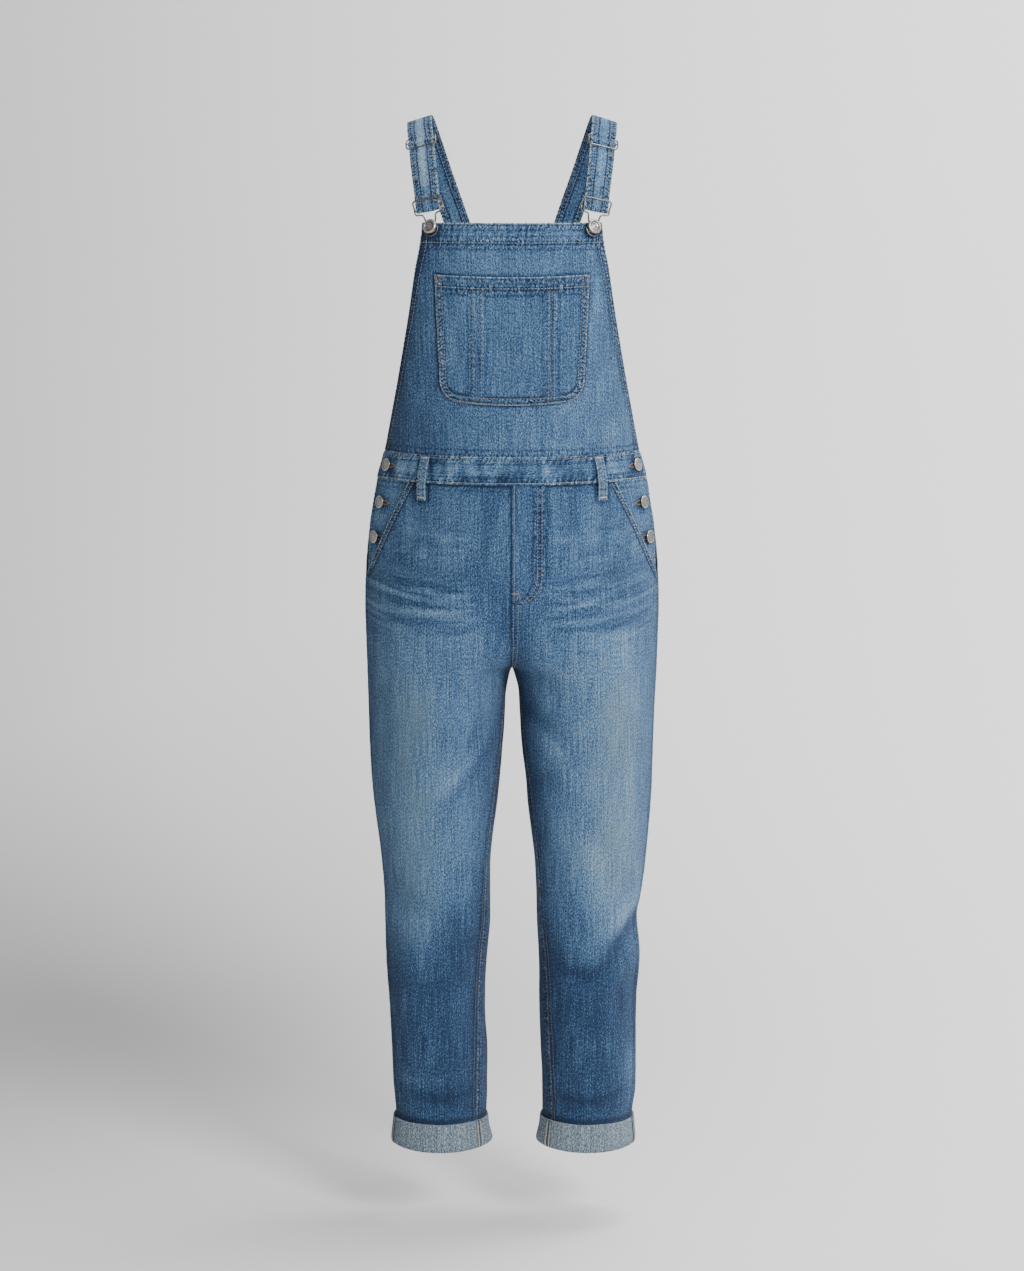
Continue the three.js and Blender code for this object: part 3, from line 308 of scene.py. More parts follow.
BACK_CREASES = [  # on the backs, in x and z
    [-150, -640, -90, -668, -20, -650, 12, -2.0, 0.2], [150, -644, 92, -672, 22, -654, 12, -2.0, -0.2], [-156, -672, -96, -704, -24, -700, 13, 1.8, 0],
    [156, -676, 100, -708, 26, -702, 13, 1.8, 0], [-160, -706, -100, -742, -20, -752, 12, -3.0, 0.3], [160, -710, 102, -746, 22, -754, 12, -2.8, -0.3],
    [-160, -744, -104, -782, -30, -796, 14, 2.2, 0], [158, -748, 104, -786, 32, -800, 14, 2.0, 0], [-158, -790, -104, -824, -36, -836, 13, -2.2, 0.3],
    [158, -794, 106, -828, 38, -842, 13, -2.2, -0.3], [-170, -1000, -120, -1030, -48, -1020, 13, -3.4, 0.3], [168, -1004, 120, -1034, 50, -1024, 13, -3.2, -0.3],
    [-166, -1034, -116, -1064, -50, -1058, 13, 3.0, 0], [166, -1040, 116, -1070, 52, -1060, 13, 2.8, 0], [-164, -1070, -114, -1098, -54, -1096, 12, -2.8, 0.3],
    [164, -1076, 114, -1102, 56, -1100, 12, -2.6, -0.3], [-160, -1110, -112, -1134, -52, -1132, 13, 1.9, 0], [162, -1114, 114, -1140, 58, -1134, 13, 1.8, 0],
    [-160, -1180, -110, -1200, -54, -1190, 14, -1.6, 0], [160, -1190, 112, -1212, 58, -1200, 14, -1.6, 0], [-154, -1312, -104, -1336, -50, -1326, 9, -2.4, 0.2],
    [158, -1316, 106, -1340, 56, -1330, 9, -2.4, -0.2], [-150, -1334, -104, -1354, -48, -1348, 8, 1.8, 0], [156, -1338, 108, -1356, 56, -1350, 8, 1.8, 0],
    [-60, -490, -50, -540, -56, -600, 13, -1.3, 0], [60, -490, 52, -544, 58, -604, 13, -1.3, 0], [-120, -500, -116, -560, -100, -610, 14, 1.4, 0],
    [120, -500, 116, -556, 104, -606, 14, 1.3, 0],
]
BIB_CREASES = [
    [-104, -168, -80, -186, -40, -192, 8, -0.9, 0], [104, -168, 82, -184, 44, -190, 8, -0.9, 0], [-106, -190, -112, -240, -116, -300, 9, 0.8, 0],
    [108, -196, 112, -250, 118, -310, 9, 0.8, 0], [-130, -400, -80, -412, -20, -404, 10, 0.9, 0], [140, -396, 90, -410, 30, -402, 10, -0.8, 0],
    [-60, -380, -50, -410, -56, -440, 9, -0.9, 0], [20, -384, 26, -412, 22, -440, 10, -0.8, 0], [84, -380, 92, -410, 88, -440, 9, -0.9, 0],
    [-110, -330, -122, -380, -126, -436, 10, -0.9, 0], [118, -330, 130, -380, 134, -436, 10, -0.9, 0],
]


def leg_fade_and_shade(x, z, facing, front):
    """How far the leg cloth is washed pale, with painted shade at the crotch, between the thighs, in soft folds and
    partly at the sides: facing is 1 where it looks straight ahead.
    """
    ax = np.abs(x)
    right = x > 0
    foot = np.where(right, -1088 - 34 * smooth((ax - 70) / 60), -1050 - 62 * smooth((ax - 78) / 46))
    thigh = np.exp(-(np.abs(ax - 112) / 72) ** 3) * smooth((-585 - z) / 120) * smooth((z - foot + 64) / 128)
    palest = np.where(right, 1.0, 0.35) * np.exp(-((ax - np.where(right, 142, 120)) / 34) ** 2) * smooth((-640 - z) / 120) * smooth((z - foot + 30) / 150)
    lower = -0.17 * smooth((foot + 60 - z) / 120)
    hip = 0.05 * np.exp(-((ax - 76) / 46) ** 2) * np.exp(-((z + 562) / 34) ** 2)
    # Painted shade down the middle below the fly and at the crotch, and on the inner thighs where the legs part.
    crotch_shade = -0.10 * np.exp(-(ax / 30) ** 2) * smooth((-560 - z) / 90)
    inner = -0.035 * np.exp(-((ax - 22) / 26) ** 2) * smooth((-740 - z) / 80)
    # Darker where the cloth turns to the sides: partly the less washed denim there, partly painted shade.
    sides = -0.16 * (1 - smooth((facing + 0.05) / 0.55))
    f = 0.330 + 0.008 * right + 0.005 * np.exp(-((z + 1010) / 80) ** 2) * np.exp(-((ax - 115) / 46) ** 2) + (np.where(right, 0.125, 0.090) * thigh + 0.10 * palest + hip * np.where(right, 0.5, 1.0)) * (1.0 if front else 0.8) + lower + crotch_shade + inner + sides
    f += 0.030 * noise(x, z, 60, 3) + 0.022 * noise(x, z, 24, 4) + 0.030 * noise(x, z * 0.12, 15, 8) * smooth((-640 - z) / 80)
    if front:
        bend = z - 0.0016 * (ax - 100) ** 2 - np.where(right, 0.10, 0.03) * (ax - 100)
        zone = np.exp(-((z + 638) / 44) ** 4) * smooth((ax - 34) / 26)
        above = 0.6 * np.exp(-((z + 556) / 30) ** 4) * smooth((ax - 44) / 20)
        f += (np.where(right, 0.14, 0.18) * zone + 0.15 * above) * noise(x * 0.10, bend, 3.6, 9) + 0.07 * zone * noise(x * 0.16, bend, 9.0, 10) - 0.045 * right * zone
        # The two soft darker upright bands, near x -38 and 84, are painted shade of soft folds from the waistband.
        f += 0.075 * noise(x, z * 0.16, 13, 12) * smooth((-490 - z) / 10) * smooth((z + 610) / 60) - 0.07 * np.exp(-((x + 38) / 17) ** 2) * smooth((z + 640) / 80) - 0.05 * np.exp(-((x - 84) / 14) ** 2) * smooth((z + 630) / 80)
        f += 0.42 * folds([r[:6] + [r[6] * 0.6] + r[7:] for r in WHISKERS], x, z)
        f += folds(LOOSE, x, z)
    return f


# ---------------------------------------------------------------- meshes
pieces = {}


def make_object(name, verts, faces, material, smooth_shade=True):
    me = bpy.data.meshes.new(name)
    me.from_pydata(verts, [], faces)
    me.validate(verbose=False)
    me.materials.append(material)
    ob = bpy.data.objects.new(name, me)
    bpy.context.scene.collection.objects.link(ob)
    if smooth_shade:
        me.polygons.foreach_set("use_smooth", [True] * len(me.polygons))
    return ob


def quick_mesh(name, verts, quads, material, mask=None, weave=None, hem=None, flat=False):
    """A mesh straight from arrays of vertices and quads."""
    me = bpy.data.meshes.new(name)
    verts, quads = np.asarray(verts, np.float32), np.asarray(quads, np.int32)
    n, k = len(quads), quads.shape[1]
    me.vertices.add(len(verts))
    me.vertices.foreach_set("co", verts.ravel())
    me.loops.add(n * k)
    me.loops.foreach_set("vertex_index", quads.ravel())
    me.polygons.add(n)
    me.polygons.foreach_set("loop_start", np.arange(0, n * k, k, dtype=np.int32))
    me.polygons.foreach_set("loop_total", np.full(n, k, np.int32))
    me.polygons.foreach_set("use_smooth", np.full(n, not flat))
    me.update(calc_edges=True)
    if mask is not None:
        at = me.attributes.new("mask", "FLOAT_COLOR", "POINT")
        at.data.foreach_set("color", np.asarray(mask, np.float32).ravel())
    if weave is not None:
        at = me.attributes.new("weave", "FLOAT_VECTOR", "POINT")
        at.data.foreach_set("vector", np.asarray(weave, np.float32).ravel())
    if hem is not None:
        at = me.attributes.new("hem", "FLOAT_VECTOR", "POINT")
        at.data.foreach_set("vector", np.asarray(hem, np.float32).ravel())
    me.materials.append(material)
    ob = bpy.data.objects.new(name, me)
    bpy.context.scene.collection.objects.link(ob)
    return ob


def nearest(*lines):
    """Of several (along, away, strength) lines, the one nearest at each point."""
    s, e, k = (np.array(a, float) for a in np.broadcast_arrays(*lines[0]))
    for line in lines[1:]:
        s2, e2, k2 = np.broadcast_arrays(*line)
        c = e2 < e
        s, e, k = np.where(c, s2, s), np.where(c, e2, e), np.where(c, k2, k)
    return s, e, k


def grid_quads(R, C, start=0, wrap=False, flip=False):
    i, j = np.meshgrid(np.arange(R - 1), np.arange(C if wrap else C - 1), indexing="ij")
    a, b = start + i * C + j, start + i * C + (j + 1) % C
    q = np.stack([a, b, b + C, a + C], -1).reshape(-1, 4)
    return q[:, ::-1] if flip else q


class Panel:
    """A grid of cloth. out and inn are the outer and inner faces, R by C points in mm."""

    def __init__(self, name, base, normal, offset, thick, fade, wear=None, tint=None, round_edges=(1, 1, 1, 1), weave_turn=0.0, pucker=None, mirror=1):
        self.name, self.base, self.normal, self.pucker, self.mirror, self.inner = name, base, normal, pucker, mirror, False
        R, C = base.shape[:2]
        ds = np.linalg.norm(np.diff(base, axis=1), axis=-1)
        dt = np.linalg.norm(np.diff(base, axis=0), axis=-1)
        self.S = np.concatenate([np.zeros((R, 1)), np.cumsum(ds, 1)], 1)
        self.T = np.concatenate([np.zeros((1, C)), np.cumsum(dt, 0)], 0)
        self.width, self.length = float(self.S[:, -1].max()), float(self.T[-1].max())
        self.plumb, self.R = None, R
        e = [self.S, self.S[:, -1:] - self.S, self.T, self.T[-1:] - self.T]
        self.edges = e
        r = np.asarray(thick, float) / 2 + np.zeros((R, C))
        near = np.full((R, C), 1e9)
        for d, on in zip(e, round_edges):
            if on:
                near = np.minimum(near, d)
        k = np.clip(near / r, 0.18, 1)
        cut = r * (1 - np.sqrt(1 - (1 - k) ** 2))
        self.out = base + normal * (offset - cut)[..., None]
        self.inn = base + normal * (offset - 2 * r + cut)[..., None]
        self.fade = fade + np.zeros((R, C))
        self.wear = np.zeros((R, C)) if wear is None else wear
        self.tint = np.zeros((R, C)) if tint is None else tint
        self.turn = weave_turn
        du, dv = np.gradient(self.out, axis=1), np.gradient(self.out, axis=0)
        n = unit(np.cross(du, dv))
        self.n_out = n * np.sign((n * normal).sum(-1, keepdims=True) + 1e-9)

    def area(self):
        b = self.base
        a = np.linalg.norm(np.cross(b[1:, 1:] - b[:-1, :-1], b[1:, :-1] - b[:-1, 1:]), axis=-1) / 2
        return float(a.sum())

    def build(self, material, reverse_inside=True, flip=None):
        R, C = self.out.shape[:2]
        verts = np.concatenate([self.out.reshape(-1, 3), self.inn.reshape(-1, 3)]) * MM
        du = self.out[R // 2, C // 2 + 1] - self.out[R // 2, C // 2 - 1]
        dv = self.out[R // 2 + 1, C // 2] - self.out[R // 2 - 1, C // 2]
        f = np.dot(np.cross(du, dv), self.normal[R // 2, C // 2]) < 0
        q = [grid_quads(R, C, 0, flip=f), grid_quads(R, C, R * C, flip=not f)]
        o = np.arange(R * C).reshape(R, C)
        n = o + R * C
        for oo, nn, fl in ((o[:, 0], n[:, 0], f), (o[:, -1], n[:, -1], not f), (o[0], n[0], not f), (o[-1], n[-1], f)):
            s = np.stack([oo[:-1], oo[1:], nn[1:], nn[:-1]], -1)
            q.append(s if fl else s[:, ::-1])
        m = np.zeros((2, R, C, 4))
        m[0, ..., 0], m[0, ..., 1], m[0, ..., 2], m[0, ..., 3] = self.fade, 0.5 + 0.5 * self.wear, self.tint, 0
        m[1, ..., 0], m[1, ..., 1], m[1, ..., 3] = self.fade, 0.5, 1.0 if reverse_inside else 0.0
        w = np.zeros((2, R, C, 3))
        mid = self.S[:, C // 2:C // 2 + 1]
        v = self.T
        if self.plumb:  # rows change length where the legs part, so both threads are counted from one upright line
            i, ax = np.arange(self.R), np.abs(self.base[..., 0])
            k = np.maximum(np.argmax(ax < self.plumb, axis=1), 1)
            f = ((ax[i, k - 1] - self.plumb) / (ax[i, k - 1] - ax[i, k]))[:, None]
            mid = self.S[i, k - 1][:, None] * (1 - f) + self.S[i, k][:, None] * f
            line = self.base[i, k - 1] * (1 - f) + self.base[i, k] * f
            run = np.concatenate([[0], np.cumsum(np.linalg.norm(np.diff(line, axis=0), axis=1))])
            v = np.repeat(run[:, None], C, 1)
        u = (self.S - mid) * self.mirror
        c, s = math.cos(self.turn), math.sin(self.turn)
        w[..., 0], w[..., 1] = u * c - v * s, u * s + v * c
        w[1, ..., 2] = 40
        # Hem lines (along, away, strength) set both the puckers and the painted shade beside the stitching.
        hem = np.zeros((2, R, C, 3))
        hem[..., 1] = 60
        if self.pucker is not None:
            for k, a in enumerate(self.pucker):
                hem[0, ..., k] = a
                if not reverse_inside:
                    hem[1, ..., k] = a
        ob = quick_mesh(self.name, verts, np.concatenate(q), material, m.reshape(-1, 4), w.reshape(-1, 3), hem.reshape(-1, 3))
        pieces[self.name] = ob
        return ob

    def at(self, row, col):
        """Point and normal of the outer face at fractional rows and columns, or of the inner one."""
        out, n_out = (self.inn, -self.n_out) if self.inner else (self.out, self.n_out)
        R, C = self.out.shape[:2]
        row, col = np.clip(np.asarray(row, float), 0, R - 1.001), np.clip(np.asarray(col, float), 0, C - 1.001)
        i, j = row.astype(int), col.astype(int)
        u, v = (row - i)[..., None], (col - j)[..., None]
        def mix(g):
            return (g[i, j] * (1 - v) + g[i, j + 1] * v) * (1 - u) + (g[i + 1, j] * (1 - v) + g[i + 1, j + 1] * v) * u
        return mix(out), unit(mix(n_out))

    def down(self, edge, inset, r0=0.0, r1=1.0):
        """A line down the panel, inset mm from its first (edge 0) or last (1) column, from row fraction r0 to r1."""
        R = self.out.shape[0]
        rows = np.linspace(r0 * (R - 1), r1 * (R - 1), 4 * R)
        cols = []
        for r in rows:
            i = min(int(r), R - 2)
            s = self.S[i] * (1 - (r - i)) + self.S[i + 1] * (r - i)
            d = inset if edge == 0 else s[-1] - inset
            cols.append(np.interp(d, s, np.arange(len(s))))
        return self.at(rows, np.array(cols))

    def across(self, edge, inset, c0=0.0, c1=1.0):
        """A line across the panel, inset mm from its first (0) or last (1) row."""
        C = self.out.shape[1]
        cols = np.linspace(c0 * (C - 1), c1 * (C - 1), 4 * C)
        rows = []
        for c in cols:
            j = min(int(c), C - 2)
            t = self.T[:, j] * (1 - (c - j)) + self.T[:, j + 1] * (c - j)
            d = inset if edge == 0 else t[-1] - inset
            rows.append(np.interp(d, t, np.arange(len(t))))
        return self.at(np.array(rows), cols)


def spaced(length, step, near=(0.0, 0.35, 0.9, 1.8, 3.0, 4.5, 6.5, 9.0), ends=(1, 1)):
    """Fractions from 0 to 1 about `step` mm apart, closer at the ends."""
    a = [d for d in near if d < length / 3] if ends[0] else [0.0]
    b = [length - d for d in near if d < length / 3][::-1] if ends[1] else [length]
    n = max(2, int(round((b[0] - a[-1]) / step)))
    mid = np.linspace(a[-1], b[0], n + 1)[1:-1]
    return np.concatenate([a, mid, b]) / length


def rope(s, e, period=6.0, reach=9.0, seed=1, lean=0.7):
    """The twisted puckers of a washed seam: 1 at a ridge, -1 in a furrow, dying out away from the edge."""
    wobble = 1.6 * noise(s, e, 23, seed) + 0.7 * noise(s, e, 8, seed + 1)
    wave = np.sin(2 * PI * (s + lean * e) / period + 2.0 * wobble)
    return wave * np.exp(-(np.maximum(e, 0) / reach) ** 2) * (0.55 + 0.45 * noise(s, e, 31, seed + 2))


# ---------------------------------------------------------------- materials
def node_tree(name):
    m = bpy.data.materials.new(name)
    m.use_nodes = True
    t = m.node_tree
    for n in list(t.nodes):
        t.nodes.remove(n)
    out = t.nodes.new("ShaderNodeOutputMaterial")
    sh = t.nodes.new("ShaderNodeBsdfPrincipled")
    t.links.new(sh.outputs[0], out.inputs[0])
    return m, t, sh


class N:
    """Shorthand for building node trees."""

    def __init__(self, tree):
        self.t = tree

    def new(self, kind, **props):
        n = self.t.nodes.new(kind)
        for k, v in props.items():
            setattr(n, k, v)
        return n

    def put(self, socket, value):
        if isinstance(value, bpy.types.NodeSocket):
            self.t.links.new(value, socket)
        else:
            socket.default_value = value

    def math(self, op, a, b=None, c=None, clamp=False):
        n = self.new("ShaderNodeMath", operation=op, use_clamp=clamp)
        for i, v in enumerate((a, b, c)):
            if v is not None:
                self.put(n.inputs[i], v)
        return n.outputs[0]

    def mix(self, fac, a, b):
        n = self.new("ShaderNodeMix", data_type="RGBA", blend_type="MIX")
        self.put(n.inputs["Factor"], fac)
        self.put(n.inputs[6], a)
        self.put(n.inputs[7], b)
        return n.outputs[2]

    def ramp(self, fac, stops):
        n = self.new("ShaderNodeValToRGB")
        n.color_ramp.interpolation = "B_SPLINE" if len(stops) > 3 else "LINEAR"
        e = n.color_ramp.elements
        e[0].position, e[0].color = stops[0]
        e[1].position, e[1].color = stops[1]
        for p, c in stops[2:]:
            x = e.new(p)
            x.color = c
        self.put(n.inputs[0], fac)
        return n.outputs[0]

    def noise(self, vector, scale, detail=2.0, rough=0.5, distortion=0.0):
        n = self.new("ShaderNodeTexNoise")
        n.noise_dimensions = "3D"
        self.put(n.inputs["Vector"], vector)
        n.inputs["Scale"].default_value = scale
        n.inputs["Detail"].default_value = detail
        n.inputs["Roughness"].default_value = rough
        n.inputs["Distortion"].default_value = distortion
        return n.outputs[0]

    def mapped(self, vector, rotation=0.0, scale=(1, 1, 1)):
        n = self.new("ShaderNodeMapping")
        self.put(n.inputs["Vector"], vector)
        n.inputs["Rotation"].default_value = (0, 0, rotation)
        n.inputs["Scale"].default_value = scale
        return n.outputs[0]

    def bump(self, height, distance, strength, normal=None):
        n = self.new("ShaderNodeBump")
        n.inputs["Strength"].default_value = strength
        n.inputs["Distance"].default_value = distance
        self.put(n.inputs["Height"], height)
        if normal is not None:
            self.put(n.inputs["Normal"], normal)
        return n.outputs[0]


def rgb(r, g, b):
    return (r, g, b, 1.0)


DENIM_STOPS = [
    (0.00, rgb(0.005, 0.012, 0.032)), (0.25, rgb(0.024, 0.062, 0.150)), (0.48, rgb(0.074, 0.164, 0.312)),
    (0.72, rgb(0.178, 0.300, 0.428)), (1.00, rgb(0.440, 0.540, 0.600)),
]


def denim_material(name, reverse=False):
    m, t, sh = node_tree(name)
    n = N(t)
    mask = n.new("ShaderNodeAttribute", attribute_name="mask")
    weave = n.new("ShaderNodeAttribute", attribute_name="weave")
    sep = n.new("ShaderNodeSeparateColor")
    t.links.new(mask.outputs["Color"], sep.inputs[0])
    fade, wear, tint, back = sep.outputs[0], sep.outputs[1], sep.outputs[2], mask.outputs["Alpha"]
    w = weave.outputs["Vector"]
    # Warp streaks, slubs across them, the short slanting grain of the twill, and the twill line itself.
    streak = n.noise(n.mapped(w, 0, (0.55, 0.016, 1)), 1.0, 3.0, 0.6)
    slub = n.noise(n.mapped(w, 0, (0.07, 0.42, 1)), 1.0, 2.0, 0.5)
    grain = n.noise(n.mapped(w, math.radians(-36), (0.66, 0.36, 1)), 1.0, 3.0, 0.60, 0.3)
    fleck = n.noise(n.mapped(w, math.radians(-30), (1.5, 0.9, 1)), 1.0, 1.0, 0.5)
    cloud = n.noise(n.mapped(w, 0, (0.02, 0.012, 1)), 1.0, 2.0, 0.5)
    twill = n.new("ShaderNodeTexWave", wave_type="BANDS", bands_direction="X", wave_profile="SIN")
    t.links.new(n.mapped(w, math.radians(28), (1, 1, 1)), twill.inputs["Vector"])
    twill.inputs["Scale"].default_value = 0.33
    twill.inputs["Distortion"].default_value = 0.6
    twill.inputs["Detail"].default_value = 1.0
    twill.inputs["Detail Scale"].default_value = 2.0
    tw = twill.outputs[1]
    centred = lambda s, k: n.math("MULTIPLY", n.math("SUBTRACT", s, 0.5), k)
    # The twisted puckers of a washed hem: along it, away from it, and how strong.
    hem = n.new("ShaderNodeAttribute", attribute_name="hem")
    parts = n.new("ShaderNodeSeparateXYZ")
    t.links.new(hem.outputs["Vector"], parts.inputs[0])
    place, away, strength = parts.outputs[0], parts.outputs[1], parts.outputs[2]
    flat = n.new("ShaderNodeCombineXYZ")
    t.links.new(place, flat.inputs[0])
    t.links.new(away, flat.inputs[1])
    drift = n.noise(n.mapped(flat.outputs[0], 0, (0.075, 0.09, 1)), 1.0, 3.0, 0.6)
    wave = n.math("SINE", n.math("ADD", n.math("MULTIPLY", n.math("MULTIPLY_ADD", away, 0.30, place), 2 * PI / 6.4), n.math("MULTIPLY", drift, 26.0)))
    near = n.math("EXPONENT", n.math("MULTIPLY", n.math("POWER", n.math("DIVIDE", away, 9.0), 2.0), -1.0))
    uneven = n.noise(n.mapped(flat.outputs[0], 0, (0.11, 0.1, 1)), 1.0, 2.0, 0.6)
    pucker = n.math("MULTIPLY", n.math("MULTIPLY", n.math("MULTIPLY", wave, near), strength), n.math("MAXIMUM", n.math("MULTIPLY_ADD", uneven, 3.4, -0.95), 0.12))
    mottle = n.math("ADD", centred(grain, 1.75 if not reverse else 2.3), n.math("ADD", centred(fleck, 1.15), n.math("ADD", centred(streak, 0.78), centred(tw, 0.07))))
    f = n.math("ADD", fade, mottle)
    f = n.math("ADD", f, n.math("ADD", centred(slub, 0.25), centred(cloud, 0.22)))
    bell = lambda at, wide: n.math("EXPONENT", n.math("MULTIPLY", n.math("POWER", n.math("ABSOLUTE", n.math("DIVIDE", n.math("SUBTRACT", away, at), wide)), 2.0), -1.0))
    # Along each hem: a pale rubbed edge, then painted shade in the stitch groove and under the turned edge.
    lines = n.math("ADD", n.math("MULTIPLY", bell(0.4, 0.9), 0.22), n.math("ADD", n.math("MULTIPLY", bell(2.9, 1.0), -0.17), n.math("MULTIPLY", bell(9.6, 1.6), -0.16)))
    lines = n.math("MULTIPLY", lines, strength)
    f = n.math("ADD", f, n.math("ADD", n.math("ADD", n.math("MULTIPLY", n.math("MINIMUM", pucker, 0.0), 0.44), n.math("MULTIPLY", n.math("MAXIMUM", pucker, 0.0), 0.19)), lines))
    f = n.math("ADD", f, centred(wear, 0.80), clamp=True)
    colour = n.ramp(f, DENIM_STOPS)
    # The washed places lean to a greyed green.
    colour = n.mix(n.math("MULTIPLY", tint, 0.42), colour, rgb(0.160, 0.230, 0.225))
    p = n.math("ADD", n.math("ADD", 0.5, mottle), n.math("ADD", n.math("MULTIPLY", pucker, 0.2), centred(wear, 0.6)), clamp=True)
    pale = n.ramp(p, [(0.10, rgb(0.036, 0.064, 0.098)), (0.90, rgb(0.450, 0.508, 0.545)), (0.5, rgb(0.156, 0.213, 0.262))])
    colour = n.mix(back if not reverse else 1.0, colour, pale)
    t.links.new(colour, sh.inputs["Base Color"])
    sh.inputs["Roughness"].default_value = 0.92
    sh.inputs["Specular IOR Level"].default_value = 0.18
    sh.inputs["Sheen Weight"].default_value = 0.06
    sh.inputs["Sheen Roughness"].default_value = 0.5
    sh.inputs["Sheen Tint"].default_value = (0.75, 0.85, 1.0, 1.0)
    height = n.math("ADD", n.math("MULTIPLY", tw, 0.3), n.math("ADD", n.math("MULTIPLY", grain, 2.4), n.math("MULTIPLY", fleck, 1.0)))
    height = n.math("ADD", height, n.math("MULTIPLY", pucker, 1.3))
    t.links.new(n.bump(height, 0.0009, 0.9), sh.inputs["Normal"])
    return m


def thread_material(name, colour, dark):
    m, t, sh = node_tree(name)
    n = N(t)
    c = n.new("ShaderNodeTexCoord").outputs["Object"]
    v = n.noise(c, 260.0, 2.0)
    t.links.new(n.mix(v, dark, colour), sh.inputs["Base Color"])
    ply = n.noise(n.mapped(c, 0.6, (2500, 2500, 2500)), 1.0, 1.0)
    t.links.new(n.bump(ply, 0.0002, 0.5), sh.inputs["Normal"])
    sh.inputs["Roughness"].default_value = 0.7
    sh.inputs["Sheen Weight"].default_value = 0.2
    return m


def metal_material(name, bright, dark, rough, lathed=False):
    m, t, sh = node_tree(name)
    n = N(t)
    c = n.new("ShaderNodeTexCoord").outputs["Object"]
    v = n.noise(c, 420.0, 4.0, 0.6)
    blot = n.noise(c, 90.0, 3.0, 0.6)
    tone = n.math("MULTIPLY_ADD", blot, 1.6, -0.35, clamp=True)
    if lathed:
        mask = n.new("ShaderNodeAttribute", attribute_name="mask")
        sep = n.new("ShaderNodeSeparateColor")
        t.links.new(mask.outputs["Color"], sep.inputs[0])
        tone = n.math("MULTIPLY", n.math("MULTIPLY_ADD", tone, 0.5, 0.5), sep.outputs[0], clamp=True)
    t.links.new(n.mix(tone, dark, bright), sh.inputs["Base Color"])
    sh.inputs["Metallic"].default_value = 1.0
    t.links.new(n.math("MULTIPLY_ADD", v, 0.30, rough), sh.inputs["Roughness"])
    t.links.new(n.bump(n.noise(c, 1500.0, 3.0), 0.00008, 0.5), sh.inputs["Normal"])
    return m


DENIM = denim_material("denim")
REVERSE = denim_material("denim_reverse", reverse=True)
THREAD = thread_material("thread_pale", rgb(0.345, 0.365, 0.365), rgb(0.20, 0.24, 0.28))
THREAD_BLUE = thread_material("thread_blue", rgb(0.12, 0.19, 0.28), rgb(0.05, 0.09, 0.15))
# Near-black marks that stand for painted shade in needle holes between stitches, inside buttonholes and in seam cracks.
HOLE_SHADE = thread_material("thread_holes", rgb(0.010, 0.020, 0.040), rgb(0.006, 0.012, 0.026))
ORANGE = thread_material("thread_orange", rgb(0.42, 0.235, 0.11), rgb(0.22, 0.115, 0.05))
TAN = thread_material("thread_tan", rgb(0.30, 0.19, 0.10), rgb(0.14, 0.08, 0.04))
CREAM = thread_material("thread_cream", rgb(0.56, 0.49, 0.38), rgb(0.34, 0.28, 0.20))
BUTTON_METAL = metal_material("button_metal", rgb(0.66, 0.64, 0.60), rgb(0.060, 0.055, 0.050), 0.22, lathed=True)
WIRE_METAL = metal_material("wire_metal", rgb(0.34, 0.32, 0.30), rgb(0.06, 0.055, 0.05), 0.16)

threads = {}  # name: lists of arrays of verts and quads, by material


def capsule(sides, xs, rs):
    """One stitch, 1 long, 1 wide and 1 high, along x, in triangles."""
    ring = np.array([[0, math.cos(a) * 0.5, math.sin(a) * 0.5] for a in np.linspace(0, 2 * PI, sides + 1)[:-1]])
    v = np.concatenate([ring * [1, r, r] + [x, 0, 0] for x, r in zip(xs, rs)])
    last = (len(xs) - 1) * sides
    q = []
    for k in range(len(xs) - 1):
        for j in range(sides):
            a, b = k * sides + j, k * sides + (j + 1) % sides
            q += [[a, b, b + sides], [a, b + sides, a + sides]]
    q += [[j + 1, j, 0] for j in range(1, sides - 1)] + [[last, last + j, last + j + 1] for j in range(1, sides - 1)]
    return v, np.array(q)


CAPSULES = {5: capsule(5, [-0.46, -0.22, 0.22, 0.46], [0.45, 0.95, 0.95, 0.45]), 4: capsule(4, [-0.46, 0.46], [0.9, 0.9])}


def stitches(group, material, centres, along_dir, normal, length, width, height, sink=0.0, dense=False):
    """Adds capsules at the centres, each lying along its direction on the surface."""
    centres = np.atleast_2d(centres)
    d = unit(along_dir - normal * (along_dir * normal).sum(-1, keepdims=True))
    side = np.cross(normal, d)
    length = np.broadcast_to(length, len(centres))[:, None, None]
    CAP_V, CAP_Q = CAPSULES[4 if material is HOLE_SHADE or dense else 5]
    v = CAP_V[None, :, 0:1] * length * d[:, None] + CAP_V[None, :, 1:2] * width * side[:, None] + CAP_V[None, :, 2:3] * height * normal[:, None]
    v = v + (centres + normal * (height * 0.3 - sink))[:, None]
    k = len(centres)
    q = CAP_Q[None] + (np.arange(k) * len(CAP_V))[:, None, None]
    threads.setdefault((group, material.name), []).append((v.reshape(-1, 3), q.reshape(-1, 3)))


def sew(group, line, material=None, pitch=4.4, length=2.9, width=0.8, height=0.5, seed=1, holes=True):
    """A row of stitches along a line of points and normals on a panel."""
    p, nrm = line
    s = np.concatenate([[0], np.cumsum(np.linalg.norm(np.diff(p, axis=0), axis=1))])
    if s[-1] < pitch * 2:
        return
    k = np.arange(pitch / 2, s[-1] - pitch / 2, pitch)
    k = k + 0.12 * pitch * noise(k, k * 0 + seed, 9, seed)
    pick = lambda a, at: np.stack([np.interp(at, s, a[:, c]) for c in range(3)], -1)
    c, nn = pick(p, k), unit(pick(nrm, k))
    d = pick(p, k + 0.8) - pick(p, k - 0.8)
    stitches(group, material or THREAD, c, d, nn, length, width, height)
    # Painted shade in the needle holes between the stitches.
    if holes:
        k = k[:-1] + pitch / 2
        stitches(group, HOLE_SHADE, pick(p, k), pick(p, k + 0.8) - pick(p, k - 0.8), unit(pick(nrm, k)), 1.5, 0.9, 0.34)


